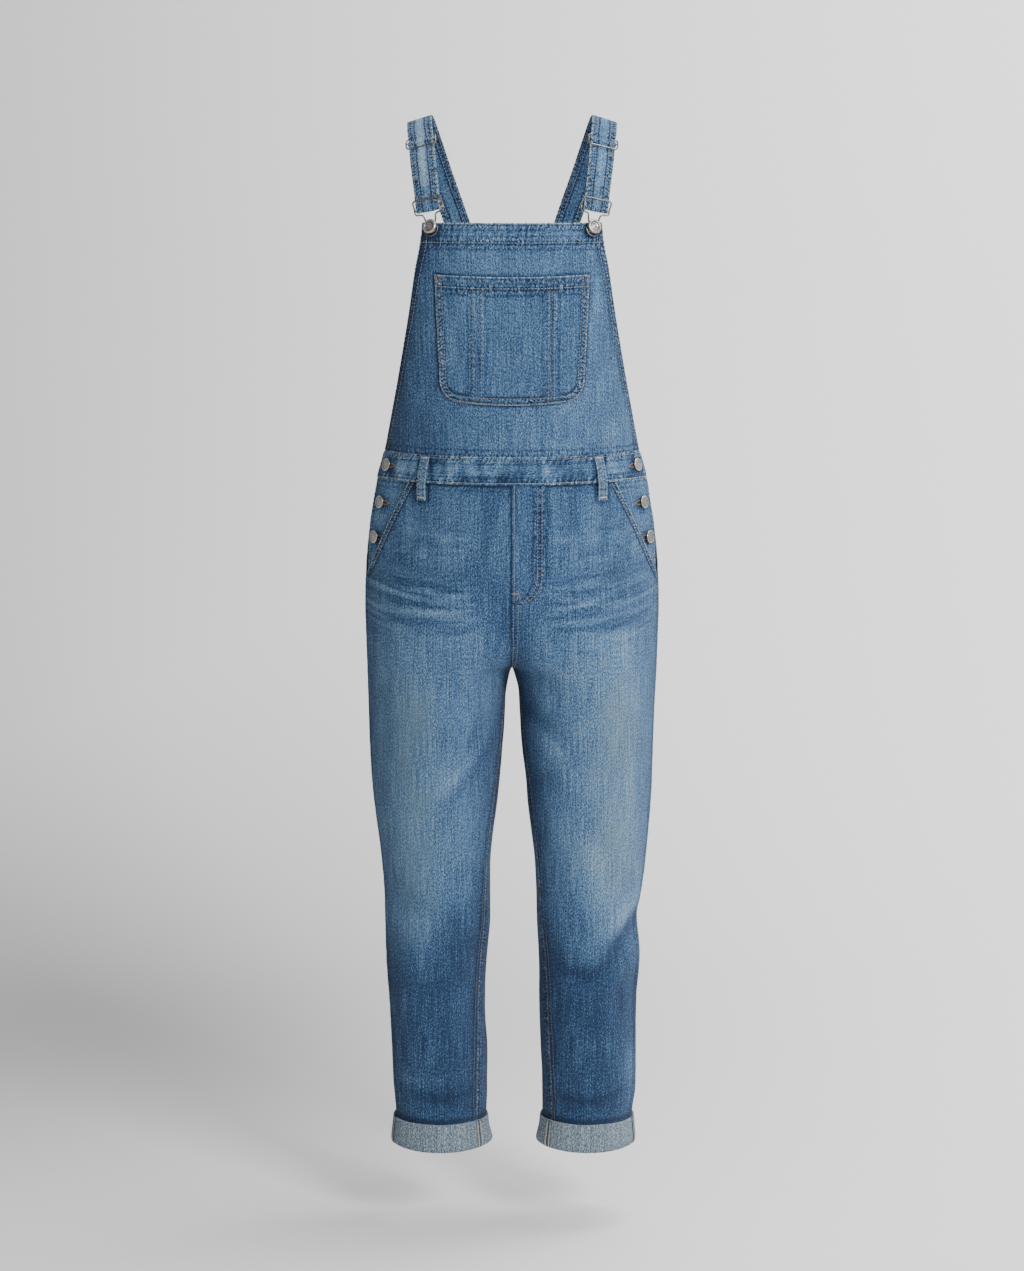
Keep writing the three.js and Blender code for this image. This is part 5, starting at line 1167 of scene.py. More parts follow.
# ---------------------------------------------------------------- mock fly
def make_fly():
    x0, x1, z0, z1, corner = 2.0, 44.0, -481.0, -636.0, 36.0
    vs = z0 + (z1 - z0) * spaced(147, 2.6)
    us = spaced(42, 2.2, near=(0.0, 0.35, 0.9, 1.8))
    V, U = np.meshgrid(vs, us, indexing="ij")
    into = np.clip((z1 + corner - V) / corner, 0, 1)
    xe = x1 - (x1 - x0 - 6) * (1 - np.sqrt(1 - into ** 2 * 0.97))
    x = x0 + (xe - x0) * U
    A = angle_of_x(1, V, x)
    base, nrm = body_point(1, V, A), body_normal(1, V, A)
    leg = legs["R", True]
    # it follows the front's own relief
    col = lambda v: np.interp(-v, -leg.V[:, 0], np.arange(leg.V.shape[0]))
    rows = col(V.ravel()).reshape(V.shape)
    lift = np.zeros(V.shape)
    for i in range(V.shape[0]):
        r = min(int(rows[i, 0]), leg.V.shape[0] - 1)
        ang = leg.A[r]
        h = ((leg.out[r] - leg.base[r]) * leg.normal[r]).sum(-1)
        lift[i] = np.interp(A[i], ang, h)
    tmp = Panel("tmp", base, nrm, 0 * V, CLOTH, 0)
    e0, e1 = tmp.edges[0], tmp.edges[1]
    soft = smooth(e1 / 5)
    edge = rope(tmp.T, e0, 6.5, 6, 101)
    thick = 0.35 + 0.85 * soft
    off = lift + 0.35 + thick + 0.30 * edge + 0.25 * noise(x, V, 13, 103)
    j = np.exp(-((e1 - 5) / 1.4) ** 2) + np.exp(-((e1 - 10.5) / 1.4) ** 2)
    rj = rope(tmp.T, np.abs(e1 - 8), 6.0, 7, 104)
    off = off - 0.3 * j + 0.25 * rj
    fade = 0.305 + 0.035 * noise(x, V, 20, 105)
    # Pale rubbed edge; the dark line inside the fold and the darker J-stitch grooves are painted shade.
    wear = 0.20 * edge + 0.45 * np.exp(-((e0 - 0.5) / 0.7) ** 2) - 0.30 * np.exp(-((e0 - 2.6) / 1.0) ** 2) - 0.22 * j + 0.35 * rj
    lines = nearest((tmp.T + 300, np.abs(e1 - 8) + 1, 1.1))
    p = Panel("fly_cloth", base, nrm, off, thick, fade, wear, pucker=lines, mirror=-1)
    p.build(DENIM)
    sew("fly_stitches", p.down(1, 5.0, 0.01, 0.985), seed=4)
    sew("fly_stitches", p.down(1, 10.5, 0.01, 0.97), seed=5)
    sew("fly_stitches", p.down(0, 0.9, 0.01, 0.86), seed=6, pitch=3.1, length=3.1, width=0.5, height=0.3, holes=False)
    return p


fly = make_fly()
c, n_ = fly.at(np.array([fly.out.shape[0] * 0.85]), np.array([fly.out.shape[1] * 0.15]))
bartack("fly_stitches", c[0], [1, 0, 0], n_[0], 9.0, 1.8)
c, n_ = fly.at(np.array([fly.out.shape[0] * 0.72]), np.array([fly.out.shape[1] * 0.67]))
bartack("fly_stitches", c[0], [0.06, 0, 1], n_[0], 10.0, 1.7)


FLY_BOX = [(3.0, -621.0), (10.2, -621.0), (10.2, -634.0), (3.0, -634.0), (3.0, -621.0)]
for (xa, za), (xb, zb) in zip(FLY_BOX[:-1], FLY_BOX[1:]):
    tt = np.linspace(0, 1, 30)
    zz, xx = za + (zb - za) * tt, xa + (xb - xa) * tt
    aa = angle_of_x(1, zz, xx)
    pp, nn = body_point(1, zz, aa), body_normal(1, zz, aa)
    flat = fly.out.reshape(-1, 3)
    close = np.array([np.argmin(((flat - q) ** 2).sum(-1)) for q in pp])
    pp = pp + nn * ((flat[close] - pp) * nn).sum(-1, keepdims=True)
    sew("fly_stitches", (pp, nn), seed=3, pitch=2.9, length=2.3, width=0.9, material=TAN)


# ---------------------------------------------------------------- belt loops
def ribbon(name, centre, wide, out, width, thick, cols, relief, fade, wear, material=DENIM, pucker=None):
    """A strip along a row of frames: centre, the direction across it and the direction out of it."""
    x = cols * width / 2
    base = centre[:, None] + wide[:, None] * x[None, :, None]
    nrm = np.broadcast_to(out[:, None], base.shape).copy()
    p = Panel(name, base, nrm, thick / 2 + relief, thick + relief * 0.0, fade, wear, pucker=pucker)
    p.build(material, reverse_inside=False)
    return p


def even(centres, *others, step=2.0):
    s = np.concatenate([[0], np.cumsum(np.linalg.norm(np.diff(centres, axis=0), axis=1))])
    k = np.linspace(0, s[-1], max(2, int(s[-1] / step)) + 1)
    pick = lambda a: np.stack([np.interp(k, s, a[:, c]) for c in range(3)], -1)
    return [pick(centres)] + [unit(pick(a)) for a in others] + [k]


for side in (-1, 1):
    tag = "L" if side < 0 else "R"
    for front in (True, False):
        t = np.linspace(0, 1, 41)
        stand = 0.9 + 3.4 * np.interp(t, [0, 0.08, 0.2, 0.36, 0.64, 0.8, 0.92, 1], [0, 0.02, 0.6, 1.12, 1.12, 0.6, 0.02, 0])
        z = -443.4 + (-503 + 443.4) * t
        x = (113 + 6 * t) * (1 if front else 0.8)
        zi = np.clip(z, -560, WAIST_TOP)
        a = (1 if front else -1) * angle_of_x(side, zi, x)
        m, nrm = body_point(side, zi, a), body_normal(side, zi, a)
        wide = unit(body_point(side, zi, a + 0.02) - body_point(side, zi, a - 0.02))
        c = m + nrm * (stand + 1.1)[:, None]
        c[:, 2] = z
        tang = unit(np.gradient(c, axis=0))
        wide = unit(wide - tang * (wide * tang).sum(-1, keepdims=True))
        nn = unit(np.cross(tang, wide))
        nn = nn * np.sign((nn * nrm).sum(-1, keepdims=True))
        cs, w2, n2, k = even(c, wide, nn, step=1.6)
        cols = np.concatenate([[-1, -0.95, -0.86], np.linspace(-0.72, 0.72, 9), [0.86, 0.95, 1]])
        S, X = np.meshgrid(k, cols * 6.8, indexing="ij")
        r = rope(S, 6.8 - np.abs(X), 5.5, 4, 111 + int(front)) * 0.30
        ridge = 0.35 * np.exp(-(X / 2.2) ** 2)
        wear = 1.2 * r + 0.5 * np.exp(-((6.8 - np.abs(X)) / 0.9) ** 2) + 0.35 * np.exp(-(X / 1.6) ** 2)
        p = ribbon(f"belt_loop_{'F' if front else 'B'}{tag}_cloth", cs, w2, n2, 13.6, 2.2, cols, r + ridge, 0.44 + 0.05 * noise(S, X, 9, 5), wear,
                   pucker=(S + 80 * (X > 0), 6.8 - np.abs(X), 0.9 + 0 * X))
        g = f"belt_loop_{'F' if front else 'B'}{tag}_stitches"
        for e in (0, 1):
            sew(g, p.down(e, 2.6, 0.03, 0.97), seed=3)
        for row in (2.4, len(k) - 3.4):
            cc, ncc = p.at(np.array([row]), np.array([len(cols) / 2 - 0.5]))
            bartack(g, cc[0], w2[int(row)], ncc[0], 11.5, 1.9, material=CREAM)


# ---------------------------------------------------------------- cuffs
def make_cuff(side):
    tag = "L" if side < 0 else "R"
    z0 = np.array([-1375.0])
    a_out, a_in = float(outseam(z0)[0]), float(PI - inseam(z0)[0])
    n = 210
    ang = np.linspace(0, 2 * PI, n, endpoint=False)
    # profile of the turned-up end: z, distance out from the leg's surface
    prof = [[-1383.6, 0.5], [-1376, 0.45], [-1368, 0.45], [-1363, 0.5], [-1361.4, 0.75], [-1360.9, 1.5], [-1361.2, 2.4], [-1362.4, 3.1], [-1366, 3.5],
            [-1372, 3.7], [-1380, 3.8], [-1388, 3.75], [-1394, 3.5], [-1397.6, 2.8], [-1399.3, 1.6], [-1399.7, 0.4], [-1399.0, -0.9], [-1396.5, -1.5],
            [-1392, -1.55], [-1388, -1.5], [-1386, -1.3], [-1384.6, -0.6]]
    prof = np.array(prof)
    d = np.concatenate([[0], np.cumsum(np.linalg.norm(np.diff(np.vstack([prof, prof[:1]]), axis=0), axis=1))])
    k = np.linspace(0, d[-1], 64, endpoint=False)
    closed = np.vstack([prof, prof[:1]])
    pz, po = np.interp(k, d, closed[:, 0]), np.interp(k, d, closed[:, 1])
    V, A = np.meshgrid(pz, ang, indexing="ij")
    O = np.meshgrid(po, ang, indexing="ij")[0]
    s = A * 66
    outside = (O > 2.2)
    down = smooth((-1361 - V) / 38)
    lumps = 1.0 * noise(np.cos(A) * 70 + 200, np.sin(A) * 70 + side * 90, 34, 121) + 0.45 * noise(np.cos(A) * 70, np.sin(A) * 70 + V * 0.6, 12, 122)
    # the turned edge droops and flares at the inside of the leg, and rides up at the seams
    flare = np.exp(-((np.angle(np.exp(1j * (A - a_in + (0.15 if side < 0 else -0.1))))) / 0.35) ** 2)
    flare2 = np.exp(-((np.angle(np.exp(1j * (A - a_out)))) / 0.35) ** 2)
    front_dip = np.exp(-((np.angle(np.exp(1j * (A - PI / 2)))) / 0.9) ** 2)
    corner = np.exp(-((np.angle(np.exp(1j * (A - (PI - 0.16))))) / 0.42) ** 2)
    O = O + (lumps * 0.8 + flare * 1.2 * down + corner * (6.0 if side < 0 else 5.0) * down * down + flare2 * 1.6 * down) * np.clip((O - 0.6) / 3.0, 0, 1)
    O = O + 0.35 * rope(s, np.abs(V + 1361), 7, 7, 123) * outside + 0.3 * rope(s, np.abs(V + 1399), 8, 7, 124) * outside
    shift = -1.2 * front_dip * smooth((-1361 - V) / 20) + 0.8 * noise(np.cos(A) * 60, np.sin(A) * 60, 30, 125) * smooth((V + 1392) / 20)
    P = body_point(side, V, A) + body_normal(side, V, A) * O[..., None]
    P[..., 2] += shift
    R, C = V.shape
    verts = P.reshape(-1, 3) * MM
    q = []
    idx = np.arange(R * C).reshape(R, C)
    nxt = np.roll(idx, -1, 0)
    rt, nrt = np.roll(idx, -1, 1), np.roll(nxt, -1, 1)
    q = np.stack([idx, rt, nrt, nxt], -1).reshape(-1, 4)
    c0 = P[R // 3, 0]
    test = np.cross(P[R // 3, 1] - P[R // 3, 0], P[R // 3 + 1, 0] - P[R // 3, 0])
    if np.dot(test, body_normal(side, V[R // 3, 0:1], A[R // 3, 0:1])[0]) < 0:
        q = q[:, ::-1]
    m = np.zeros((R, C, 4))
    m[..., 0] = 0.5 + 0.06 * noise(s, V, 20, 126)
    m[..., 1] = (0.455 if side < 0 else 0.49) + 0.5 * (0.35 * rope(s, np.abs(V + 1361), 7, 7, 123) + 0.3 * np.exp(-((V + 1361.5) / 1.2) ** 2) - 0.1 * smooth((-1390 - V) / 8))
    m[..., 3] = 1
    w = np.zeros((R, C, 3))
    w[..., 0], w[..., 1] = s, np.meshgrid(k, ang, indexing="ij")[0]
    hem = np.zeros((R, C, 3))
    hem[..., 0], hem[..., 1], hem[..., 2] = s, np.minimum(np.abs(V + 1361.5), np.abs(V + 1399)), 0.7 * outside
    ob = quick_mesh(f"cuff_{tag}_cloth", verts, q, REVERSE, m.reshape(-1, 4), w.reshape(-1, 3), hem.reshape(-1, 3))
    pieces[ob.name] = ob
    area = float(np.linalg.norm(np.cross(np.roll(P, -1, 1) - P, np.roll(P, -1, 0) - P), axis=-1).sum()) / 2
    girth = float(np.linalg.norm(np.roll(P[R // 3], -1, 0) - P[R // 3], axis=-1).sum())
    # the seam allowances that show on the reverse, with their overlocked edges
    outer = [i for i in range(R) if po[i] > 1.2]
    rows = np.array([-1361.5, -1363, -1366, -1370, -1375, -1380, -1385, -1390, -1394, -1397.0, -1398.6])
    for kind, centre, half in (("in", a_in, 4.8), ("out", a_out, 4.8)):
        cols = np.concatenate([[-1, -0.92, -0.75], np.linspace(-0.5, 0.5, 5), [0.75, 0.92, 1]])
        aa = centre + cols * half / 64
        VV, AA = np.meshgrid(np.linspace(rows[0], rows[-1], 26), aa, indexing="ij")
        # follow the cuff's own outer face
        col = (AA / (2 * PI) * n) % n
        face = P[outer]
        fz = face[..., 2]
        j0 = np.floor(col).astype(int) % n
        f = (col - np.floor(col))[..., None]
        pts = np.zeros(VV.shape + (3,))
        for b in range(VV.shape[1]):
            for which, wt in ((j0[0, b], 1 - f[0, b, 0]), ((j0[0, b] + 1) % n, f[0, b, 0])):
                zcol = fz[:, which]
                order = np.argsort(zcol)
                for c in range(3):
                    pts[:, b, c] += wt * np.interp(VV[:, b], zcol[order], face[order, which, c])
        nrm = body_normal(side, VV, AA)
        crown = 0.75 + 0.35 * np.exp(-((np.abs(cols) - 0.75) / 0.25) ** 2)[None] + 0.15 * noise(VV * 3, cols[None] * 9, 5, 127)
        sp = Panel(f"cuff_{tag}_seam_{kind}", pts, nrm, crown + 0 * VV, 1.3, 0.34 + 0 * VV, 0.25 * np.sin(VV * 2.1 + cols[None] * 3))
        sp.build(DENIM, reverse_inside=False)
        g = f"cuff_{tag}_stitches"
        for e in (0, 1):
            p_, n2_ = sp.down(e, 1.9, 0.02, 0.98)
            ss = np.concatenate([[0], np.cumsum(np.linalg.norm(np.diff(p_, axis=0), axis=1))])
            kk = np.arange(0.6, ss[-1], 0.8)
            pk = lambda arr: np.stack([np.interp(kk, ss, arr[:, c]) for c in range(3)], -1)
            tang = unit(pk(np.gradient(p_, axis=0)))
            nn = unit(pk(n2_))
            stitches(g, CREAM, pk(p_), np.cross(nn, tang) + 0.35 * tang, nn, 3.3, 0.72, 0.6)
        # Painted shade in the seam's crack down the middle of the allowances.
        sew(g, sp.down(0, half, 0.02, 0.98), seed=3, material=HOLE_SHADE, width=1.0, pitch=3.0, length=2.8)
    return ob, girth, area


cuffs = {s: make_cuff(s) for s in (-1, 1)}


# ---------------------------------------------------------------- straps
def catmull(points, n):
    """Centripetal curve through the points, n samples to a stretch, and its places in curve units."""
    p = np.asarray(points, float)
    p = np.vstack([2 * p[0] - p[1], p, 2 * p[-1] - p[-2]])
    out, at = [], []
    for i in range(1, len(p) - 2):
        p0, p1, p2, p3 = p[i - 1:i + 3]
        t = [0.0]
        for a, b in ((p0, p1), (p1, p2), (p2, p3)):
            t.append(t[-1] + max(np.linalg.norm(b[:3] - a[:3]) ** 0.5, 1e-6))
        last = i == len(p) - 3
        for k in range(n + (1 if last else 0)):
            u = t[1] + (t[2] - t[1]) * k / n
            a1 = (t[1] - u) / (t[1] - t[0]) * p0 + (u - t[0]) / (t[1] - t[0]) * p1
            a2 = (t[2] - u) / (t[2] - t[1]) * p1 + (u - t[1]) / (t[2] - t[1]) * p2
            a3 = (t[3] - u) / (t[3] - t[2]) * p2 + (u - t[2]) / (t[3] - t[2]) * p3
            b1 = (t[2] - u) / (t[2] - t[0]) * a1 + (u - t[0]) / (t[2] - t[0]) * a2
            b2 = (t[3] - u) / (t[3] - t[1]) * a2 + (u - t[1]) / (t[3] - t[1]) * a3
            out.append((t[2] - u) / (t[2] - t[1]) * b1 + (u - t[1]) / (t[2] - t[1]) * b2)
            at.append(i - 1 + k / n)
    return np.array(out), np.array(at)


C_PATH, C_AT = catmull(STRAP_PATH, 24)
P_P = C_PATH[:, :3]
P_T = unit(np.gradient(P_P, axis=0))
P_W = unit(C_PATH[:, 3:] - P_T * (C_PATH[:, 3:] * P_T).sum(-1, keepdims=True))
P_N = unit(np.cross(P_W, P_T))
SLIDER_AT, LAST = 9.15, len(STRAP_PATH) - 1.0


def frame_at(u):
    pick = lambda a: np.array([np.interp(u, C_AT, a[:, c]) for c in range(3)])
    return pick(P_P), unit(pick(P_T)), unit(pick(P_W)), unit(pick(P_N))


HALF = WIRE / 2 + DOUBLE / 2
BEND = HALF + 0.3
SL_P, SL_T, SL_W, SL_N = frame_at(SLIDER_AT)
EN_P, EN_T, EN_W, EN_N = frame_at(LAST)
BAR = EN_P - EN_N * BEND
PITCH, SWING = (19 - WIRE) / 2, HALF + 1.0
LEAD = PITCH + 14
UNDER = DOUBLE + 0.7


def u_at(d):
    a, b = SLIDER_AT - 1.8, min(LAST, SLIDER_AT + 1.8)
    for _ in range(40):
        m = (a + b) / 2
        if (frame_at(m)[0] - SL_P) @ SL_T < d:
            a = m
        else:
            b = m
    return (a + b) / 2


def strap_rows():
    rows = []
    def row(u, off, flip=1):
        p, t, w, n = frame_at(u)
        rows.append((p + n * off, w, n * flip))
    def flat(d, off, flip=1):
        rows.append((SL_P + SL_T * d + SL_N * off, SL_W, SL_N * flip))
    for u in np.linspace(0, u_at(-LEAD - 6), 60):
        row(u, 0)
    row(u_at(-LEAD + 4), -SWING * 0.22)
    for d, off in ((-PITCH - 4.5, -SWING * 0.72), (-PITCH - 1.5, -SWING), (-PITCH + 1.5, -SWING), (-PITCH / 2, 0), (-1.5, SWING), (1.5, SWING),
                   (PITCH / 2, 0), (PITCH - 1.5, -SWING), (PITCH + 1.5, -SWING), (PITCH + 4.5, -SWING * 0.72)):
        flat(d, off)
    row(u_at(LEAD - 4), -SWING * 0.22)
    for u in np.linspace(u_at(LEAD + 6), LAST, 14):
        row(u, 0)
    for a in np.radians(np.linspace(0, 180, 13))[1:]:
        rows.append((BAR + EN_N * BEND * math.cos(a) + EN_T * BEND * math.sin(a), EN_W, EN_N * math.cos(a) + EN_T * math.sin(a)))
    for u in np.linspace(LAST, u_at(LEAD + 6), 10)[1:]:
        row(u, -UNDER - (2 * BEND - UNDER) * (1 - float(smooth((LAST - u) / (0.05 * 12)))), -1)
    row(u_at(LEAD - 4), -SWING * 0.22 - UNDER, -1)
    for d, off in ((PITCH + 4.5, -SWING * 0.72 - UNDER), (PITCH + 1, -SWING - UNDER), (PITCH - 2, -SWING - UNDER + 0.4), (2.5, -HALF - 0.6), (-1, -HALF - 0.5)):
        flat(d, off, -1)
    return [np.array([r[k] for r in rows]) for k in range(3)]


def make_strap(side):
    tag = "L" if side < 0 else "R"
    c, w, n = strap_rows()
    if side > 0:
        c, w, n = (a * [-1, 1, 1] for a in (c, w, n))
    cs, ws, ns, k = even(c, w, n, step=1.5)
    # round the polyline's corners a little
    for _ in range(2):
        cs[1:-1] = 0.25 * cs[:-2] + 0.5 * cs[1:-1] + 0.25 * cs[2:]
        ns[1:-1] = unit(0.25 * ns[:-2] + 0.5 * ns[1:-1] + 0.25 * ns[2:])
    cols = np.concatenate([[-1, -0.98, -0.945, -0.89, -0.82, -0.74, -0.66], np.linspace(-0.56, 0.56, 11), [0.66, 0.74, 0.82, 0.89, 0.945, 0.98, 1]])
    S, X = np.meshgrid(k, cols * 17, indexing="ij")
    e = 17 - np.abs(X)
    z = cs[:, 2][:, None] + 0 * S
    front = (cs[:, 1] < 10)[:, None] & (S < k[-1] * 0.78)
    seed = 131 if side < 0 else 141
    r = rope(S + 300 * (X > 0), e, 6.2, 7.5, seed)
    puff = 0.45 * smooth((e - 8) / 4) * (0.6 + 0.4 * noise(S, X, 14, seed + 4))
    groove = -0.30 * (np.exp(-((e - 2.6) / 1.1) ** 2) + np.exp(-((e - 8.2) / 1.2) ** 2))
    relief = 0.38 * r + puff + groove
    relief = relief * np.clip(1 - 0.6 * (np.abs(S - k[-1] * 0.69) < 3), 0, 1)
    pale = np.exp(-(X / 6.5) ** 2) * (0.16 + 0.20 * front) * (1.0 if side < 0 else 0.5) * (0.75 + 0.5 * noise(S, X * 0, 40, seed + 6))
    fade = 0.40 + pale + 0.05 * noise(S, X, 18, seed + 7) - 0.12 * (cs[:, 1] > 12)[:, None]
    # Pale rubbed edges; the dark line inside the inner stitch rows is painted shade.
    wear = 0.5 * r + 0.5 * np.exp(-((e - 0.5) / 0.8) ** 2) - 0.28 * np.exp(-((e - 9.4) / 1.2) ** 2) + 0.2 * noise(S, X * 1.2, 6, seed + 8) * smooth((e - 9) / 3)
    p = ribbon(f"strap_{tag}_cloth", cs, ws, ns, STRAP_WIDTH, DOUBLE, cols, relief, fade, wear, pucker=(S + 300 * (X > 0) + side * 40, e, 1.35 + 0 * X))
    g = f"strap_{tag}_stitches"
    for edge in (0, 1):
        sew(g, p.down(edge, 2.6, 0.002, 0.995), seed=3 + edge)
        sew(g, p.down(edge, 8.2, 0.002, 0.995), seed=5 + edge)
        p.inner = True
        sew(g, p.down(edge, 2.6, 0.002, 0.55), seed=3 + edge)
        sew(g, p.down(edge, 8.2, 0.002, 0.55), seed=5 + edge)
        p.inner = False
    for row in (4, 14, 24):
        cc = p.across(0, 3.0 + row * 1.1, 0.1, 0.9)
        sew(g, cc, seed=row)
    return p


straps = {s: make_strap(s) for s in (-1, 1)}


# ---------------------------------------------------------------- wire and buttons
def wire(name, path, radius, normal, closed=True, sides=14, material=WIRE_METAL):
    path = np.asarray(path, float)
    t = unit(np.roll(path, -1, 0) - np.roll(path, 1, 0)) if closed else unit(np.gradient(path, axis=0))
    s = unit(np.cross(t, normal))
    n = np.cross(s, t)
    a = np.linspace(0, 2 * PI, sides, endpoint=False)
    v = path[:, None] + radius * (np.cos(a)[None, :, None] * s[:, None] + np.sin(a)[None, :, None] * n[:, None])
    R, C = len(path), sides
    idx = np.arange(R * C).reshape(R, C)
    rt = np.roll(idx, -1, 1)
    if closed:
        q = np.stack([idx, rt, np.roll(rt, -1, 0), np.roll(idx, -1, 0)], -1).reshape(-1, 4)
        return v.reshape(-1, 3), q
    q = np.stack([idx[:-1], rt[:-1], rt[1:], idx[1:]], -1).reshape(-1, 4)
    v = np.concatenate([v.reshape(-1, 3), path[:1] - t[0] * 0.0, path[-1:]])
    caps = [[j, (R * C), (R * C), (j + 1) % C] for j in range(0)]
    cap = [[R * C, int(idx[0, (j + 1) % C]), int(idx[0, j])] for j in range(C)] + [[R * C + 1, int(idx[-1, j]), int(idx[-1, (j + 1) % C])] for j in range(C)]
    return v, q, cap


def outline(corners, steps=8):
    out = []
    m = len(corners)
    for i, (x, y, r) in enumerate(corners):
        a, b = np.array(corners[i - 1][:2], float), np.array(corners[(i + 1) % m][:2], float)
        p = np.array([x, y], float)
        da, db = a - p, b - p
        da = da / np.linalg.norm(da) * min(r, np.linalg.norm(da) * 0.49)
        db = db / np.linalg.norm(db) * min(r, np.linalg.norm(db) * 0.49)
        for k in np.linspace(0, 1, steps + 1):
            out.append(p + da * (1 - k) ** 2 + db * k * k)
    return np.array(out)


def refine(path, step=0.8):
    p = np.vstack([path, path[:1]])
    s = np.concatenate([[0], np.cumsum(np.linalg.norm(np.diff(p, axis=0), axis=1))])
    k = np.linspace(0, s[-1], int(s[-1] / step), endpoint=False)
    return np.stack([np.interp(k, s, p[:, c]) for c in range(p.shape[1])], -1)


def button_foot(side):
    z, x = np.array([-145.0]), np.array([103.5])
    a = bib_angle(T_BIB, z, x)
    a = PI - a if side < 0 else a
    p, n = bib_point(T_BIB, -1, z, a)[0], bib_normal(T_BIB, -1, z, a)[0]
    axis = n + np.array([0, 0, 0.22])
    return p + n * GAP, unit(axis)


def mesh_with_caps(name, parts, material):
    verts, faces, base = [], [], 0
    for v, q, *cap in parts:
        verts.append(v)
        faces += (np.asarray(q) + base).tolist()
        if cap:
            faces += [[i + base for i in f] for f in cap[0]]
        base += len(v)
    ob = make_object(name, (np.concatenate(verts) * MM).tolist(), faces, material)
    pieces[name] = ob
    return ob


def outward(v, q, cap=None):
    return (v, q, cap) if cap is not None else (v, q)


def make_hardware(side):
    tag = "L" if side < 0 else "R"
    flip = lambda a: np.asarray(a, float) * ([1, 1, 1] if side < 0 else [-1, 1, 1])
    W = 21 - WIRE / 2
    fr = refine(outline([[-W, -PITCH, 4], [W, -PITCH, 4], [W, PITCH, 4], [-W, PITCH, 4]]))
    up = 1 if SL_T[2] > 0 else -1
    to = lambda q: SL_P + 3.5 * up * SL_T + q[:, :1] * SL_W + q[:, 1:2] * SL_T - 3.3 * smooth((up * q[:, 1:2] - 0.5) / (PITCH - 1.0)) * SL_N
    n = SL_N
    a = wire("s", flip(to(fr)), WIRE / 2, flip(n))
    b = wire("b", flip(to(np.array([[-W, 0], [-W / 2, 0], [W / 2, 0], [W, 0]], float))), WIRE / 2 * 0.97, flip(n), closed=False)
    mesh_with_caps(f"slider_{tag}_wire", [a, b], WIRE_METAL)
    C, Nk, R = 21 - WIRE / 2, 9 - WIRE / 2, 4.7
    foot, axis = button_foot(-1)
    eye = foot + axis * 3.3
    reach = float(np.linalg.norm(eye - BAR))
    dirn = (eye - BAR) / reach
    a1 = unit(EN_W - axis * (EN_W @ axis))
    a2 = unit(np.cross(axis, a1))
    if a2[2] > 0:
        a2 = -a2

    def clasp_point(q):
        x, y = q[:, :1], q[:, 1:2]
        lift = (BEND + DOUBLE / 2 + 0.4 + WIRE / 2) * smooth((-y - 1) / 10.5)
        f = BAR + x * EN_W + np.where(y < 0, y * EN_T, y * dirn) + EN_N * lift
        e = eye + x * a1 + (y - reach) * a2
        k = smooth((y - 7) / (reach - R - 7))
        return f * (1 - k) + e * k

    right = outline([[-C, -12.5, 5], [C, -12.5, 5], [C, 5.4, 4], [Nk + 0.6, 6.0, 4], [Nk - 0.6, reach - 8, 5], [R * 0.92, reach - 2.6, 2], [0, reach + 30, 0]], 8)[9:54]
    t = np.radians(np.linspace(20, 160, 15))
    ring = np.stack([np.cos(t) * R, reach + np.sin(t) * R], -1)
    loop = np.vstack([right, [[R, reach - 0.5]], ring, [[-R, reach - 0.5]], right[::-1] * [-1, 1]])
    loop = refine(loop, 0.7)
    for _ in range(2):
        loop = 0.25 * np.roll(loop, 1, 0) + 0.5 * loop + 0.25 * np.roll(loop, -1, 0)
    facing = unit(EN_N + axis)
    a = wire("c", flip(clasp_point(loop)), WIRE / 2, flip(facing))
    b = wire("m", flip(clasp_point(np.array([[-C, 0.0], [-C / 2, 0], [C / 2, 0], [C, 0.0]]))), WIRE / 2 * 0.97, flip(facing), closed=False)
    t = np.radians(np.linspace(168, 12, 40))
    crescent = np.vstack([[[-4.7, -1.5], [-7.6, -0.4]], np.stack([np.cos(t) * 9.5, 2.2 + np.sin(t) * 9.5], -1), [[7.6, -0.4], [4.7, -1.5]]])
    c = wire("e", flip(eye + crescent[:, :1] * a1 + crescent[:, 1:] * a2), WIRE / 2, flip(axis), closed=False)
    mesh_with_caps(f"clasp_{tag}_wire", [a, b, c], WIRE_METAL)


def lathe(name, profile, foot, axis, dark, material=BUTTON_METAL, segments=56):
    axis = unit(np.asarray(axis, float))
    a1 = unit(np.cross(axis, [0.3, 0.2, 1.0]))
    a2 = np.cross(axis, a1)
    prof = np.array(profile, float)
    d = np.concatenate([[0], np.cumsum(np.linalg.norm(np.diff(prof, axis=0), axis=1))])
    k = np.unique(np.concatenate([np.linspace(0, d[-1], 60), d]))
    r, h = np.interp(k, d, prof[:, 0]), np.interp(k, d, prof[:, 1])
    r, h = r[1:-1], h[1:-1]
    t = np.linspace(0, 2 * PI, segments, endpoint=False)
    v = foot + h[:, None, None] * axis + r[:, None, None] * (np.cos(t)[None, :, None] * a1 + np.sin(t)[None, :, None] * a2)
    R, C = len(r), segments
    idx = np.arange(R * C).reshape(R, C)
    rt = np.roll(idx, -1, 1)
    q = np.stack([idx[:-1], rt[:-1], rt[1:], idx[1:]], -1).reshape(-1, 4)
    v = np.concatenate([v.reshape(-1, 3), [foot + axis * prof[0, 1]], [foot + axis * prof[-1, 1]]])
    cap = [[R * C, int(rt[0, j]), int(idx[0, j])] for j in range(C)] + [[R * C + 1, int(idx[-1, j]), int(rt[-1, j])] for j in range(C)]
    ob = mesh_with_caps(name, [(v, q, cap)], material)
    at = ob.data.attributes.new("mask", "FLOAT_COLOR", "POINT")
    level = np.concatenate([np.repeat(dark(r, h), C), [1.0, 1.0]])
    at.data.foreach_set("color", np.repeat(level, 4).astype(np.float32))
    return ob


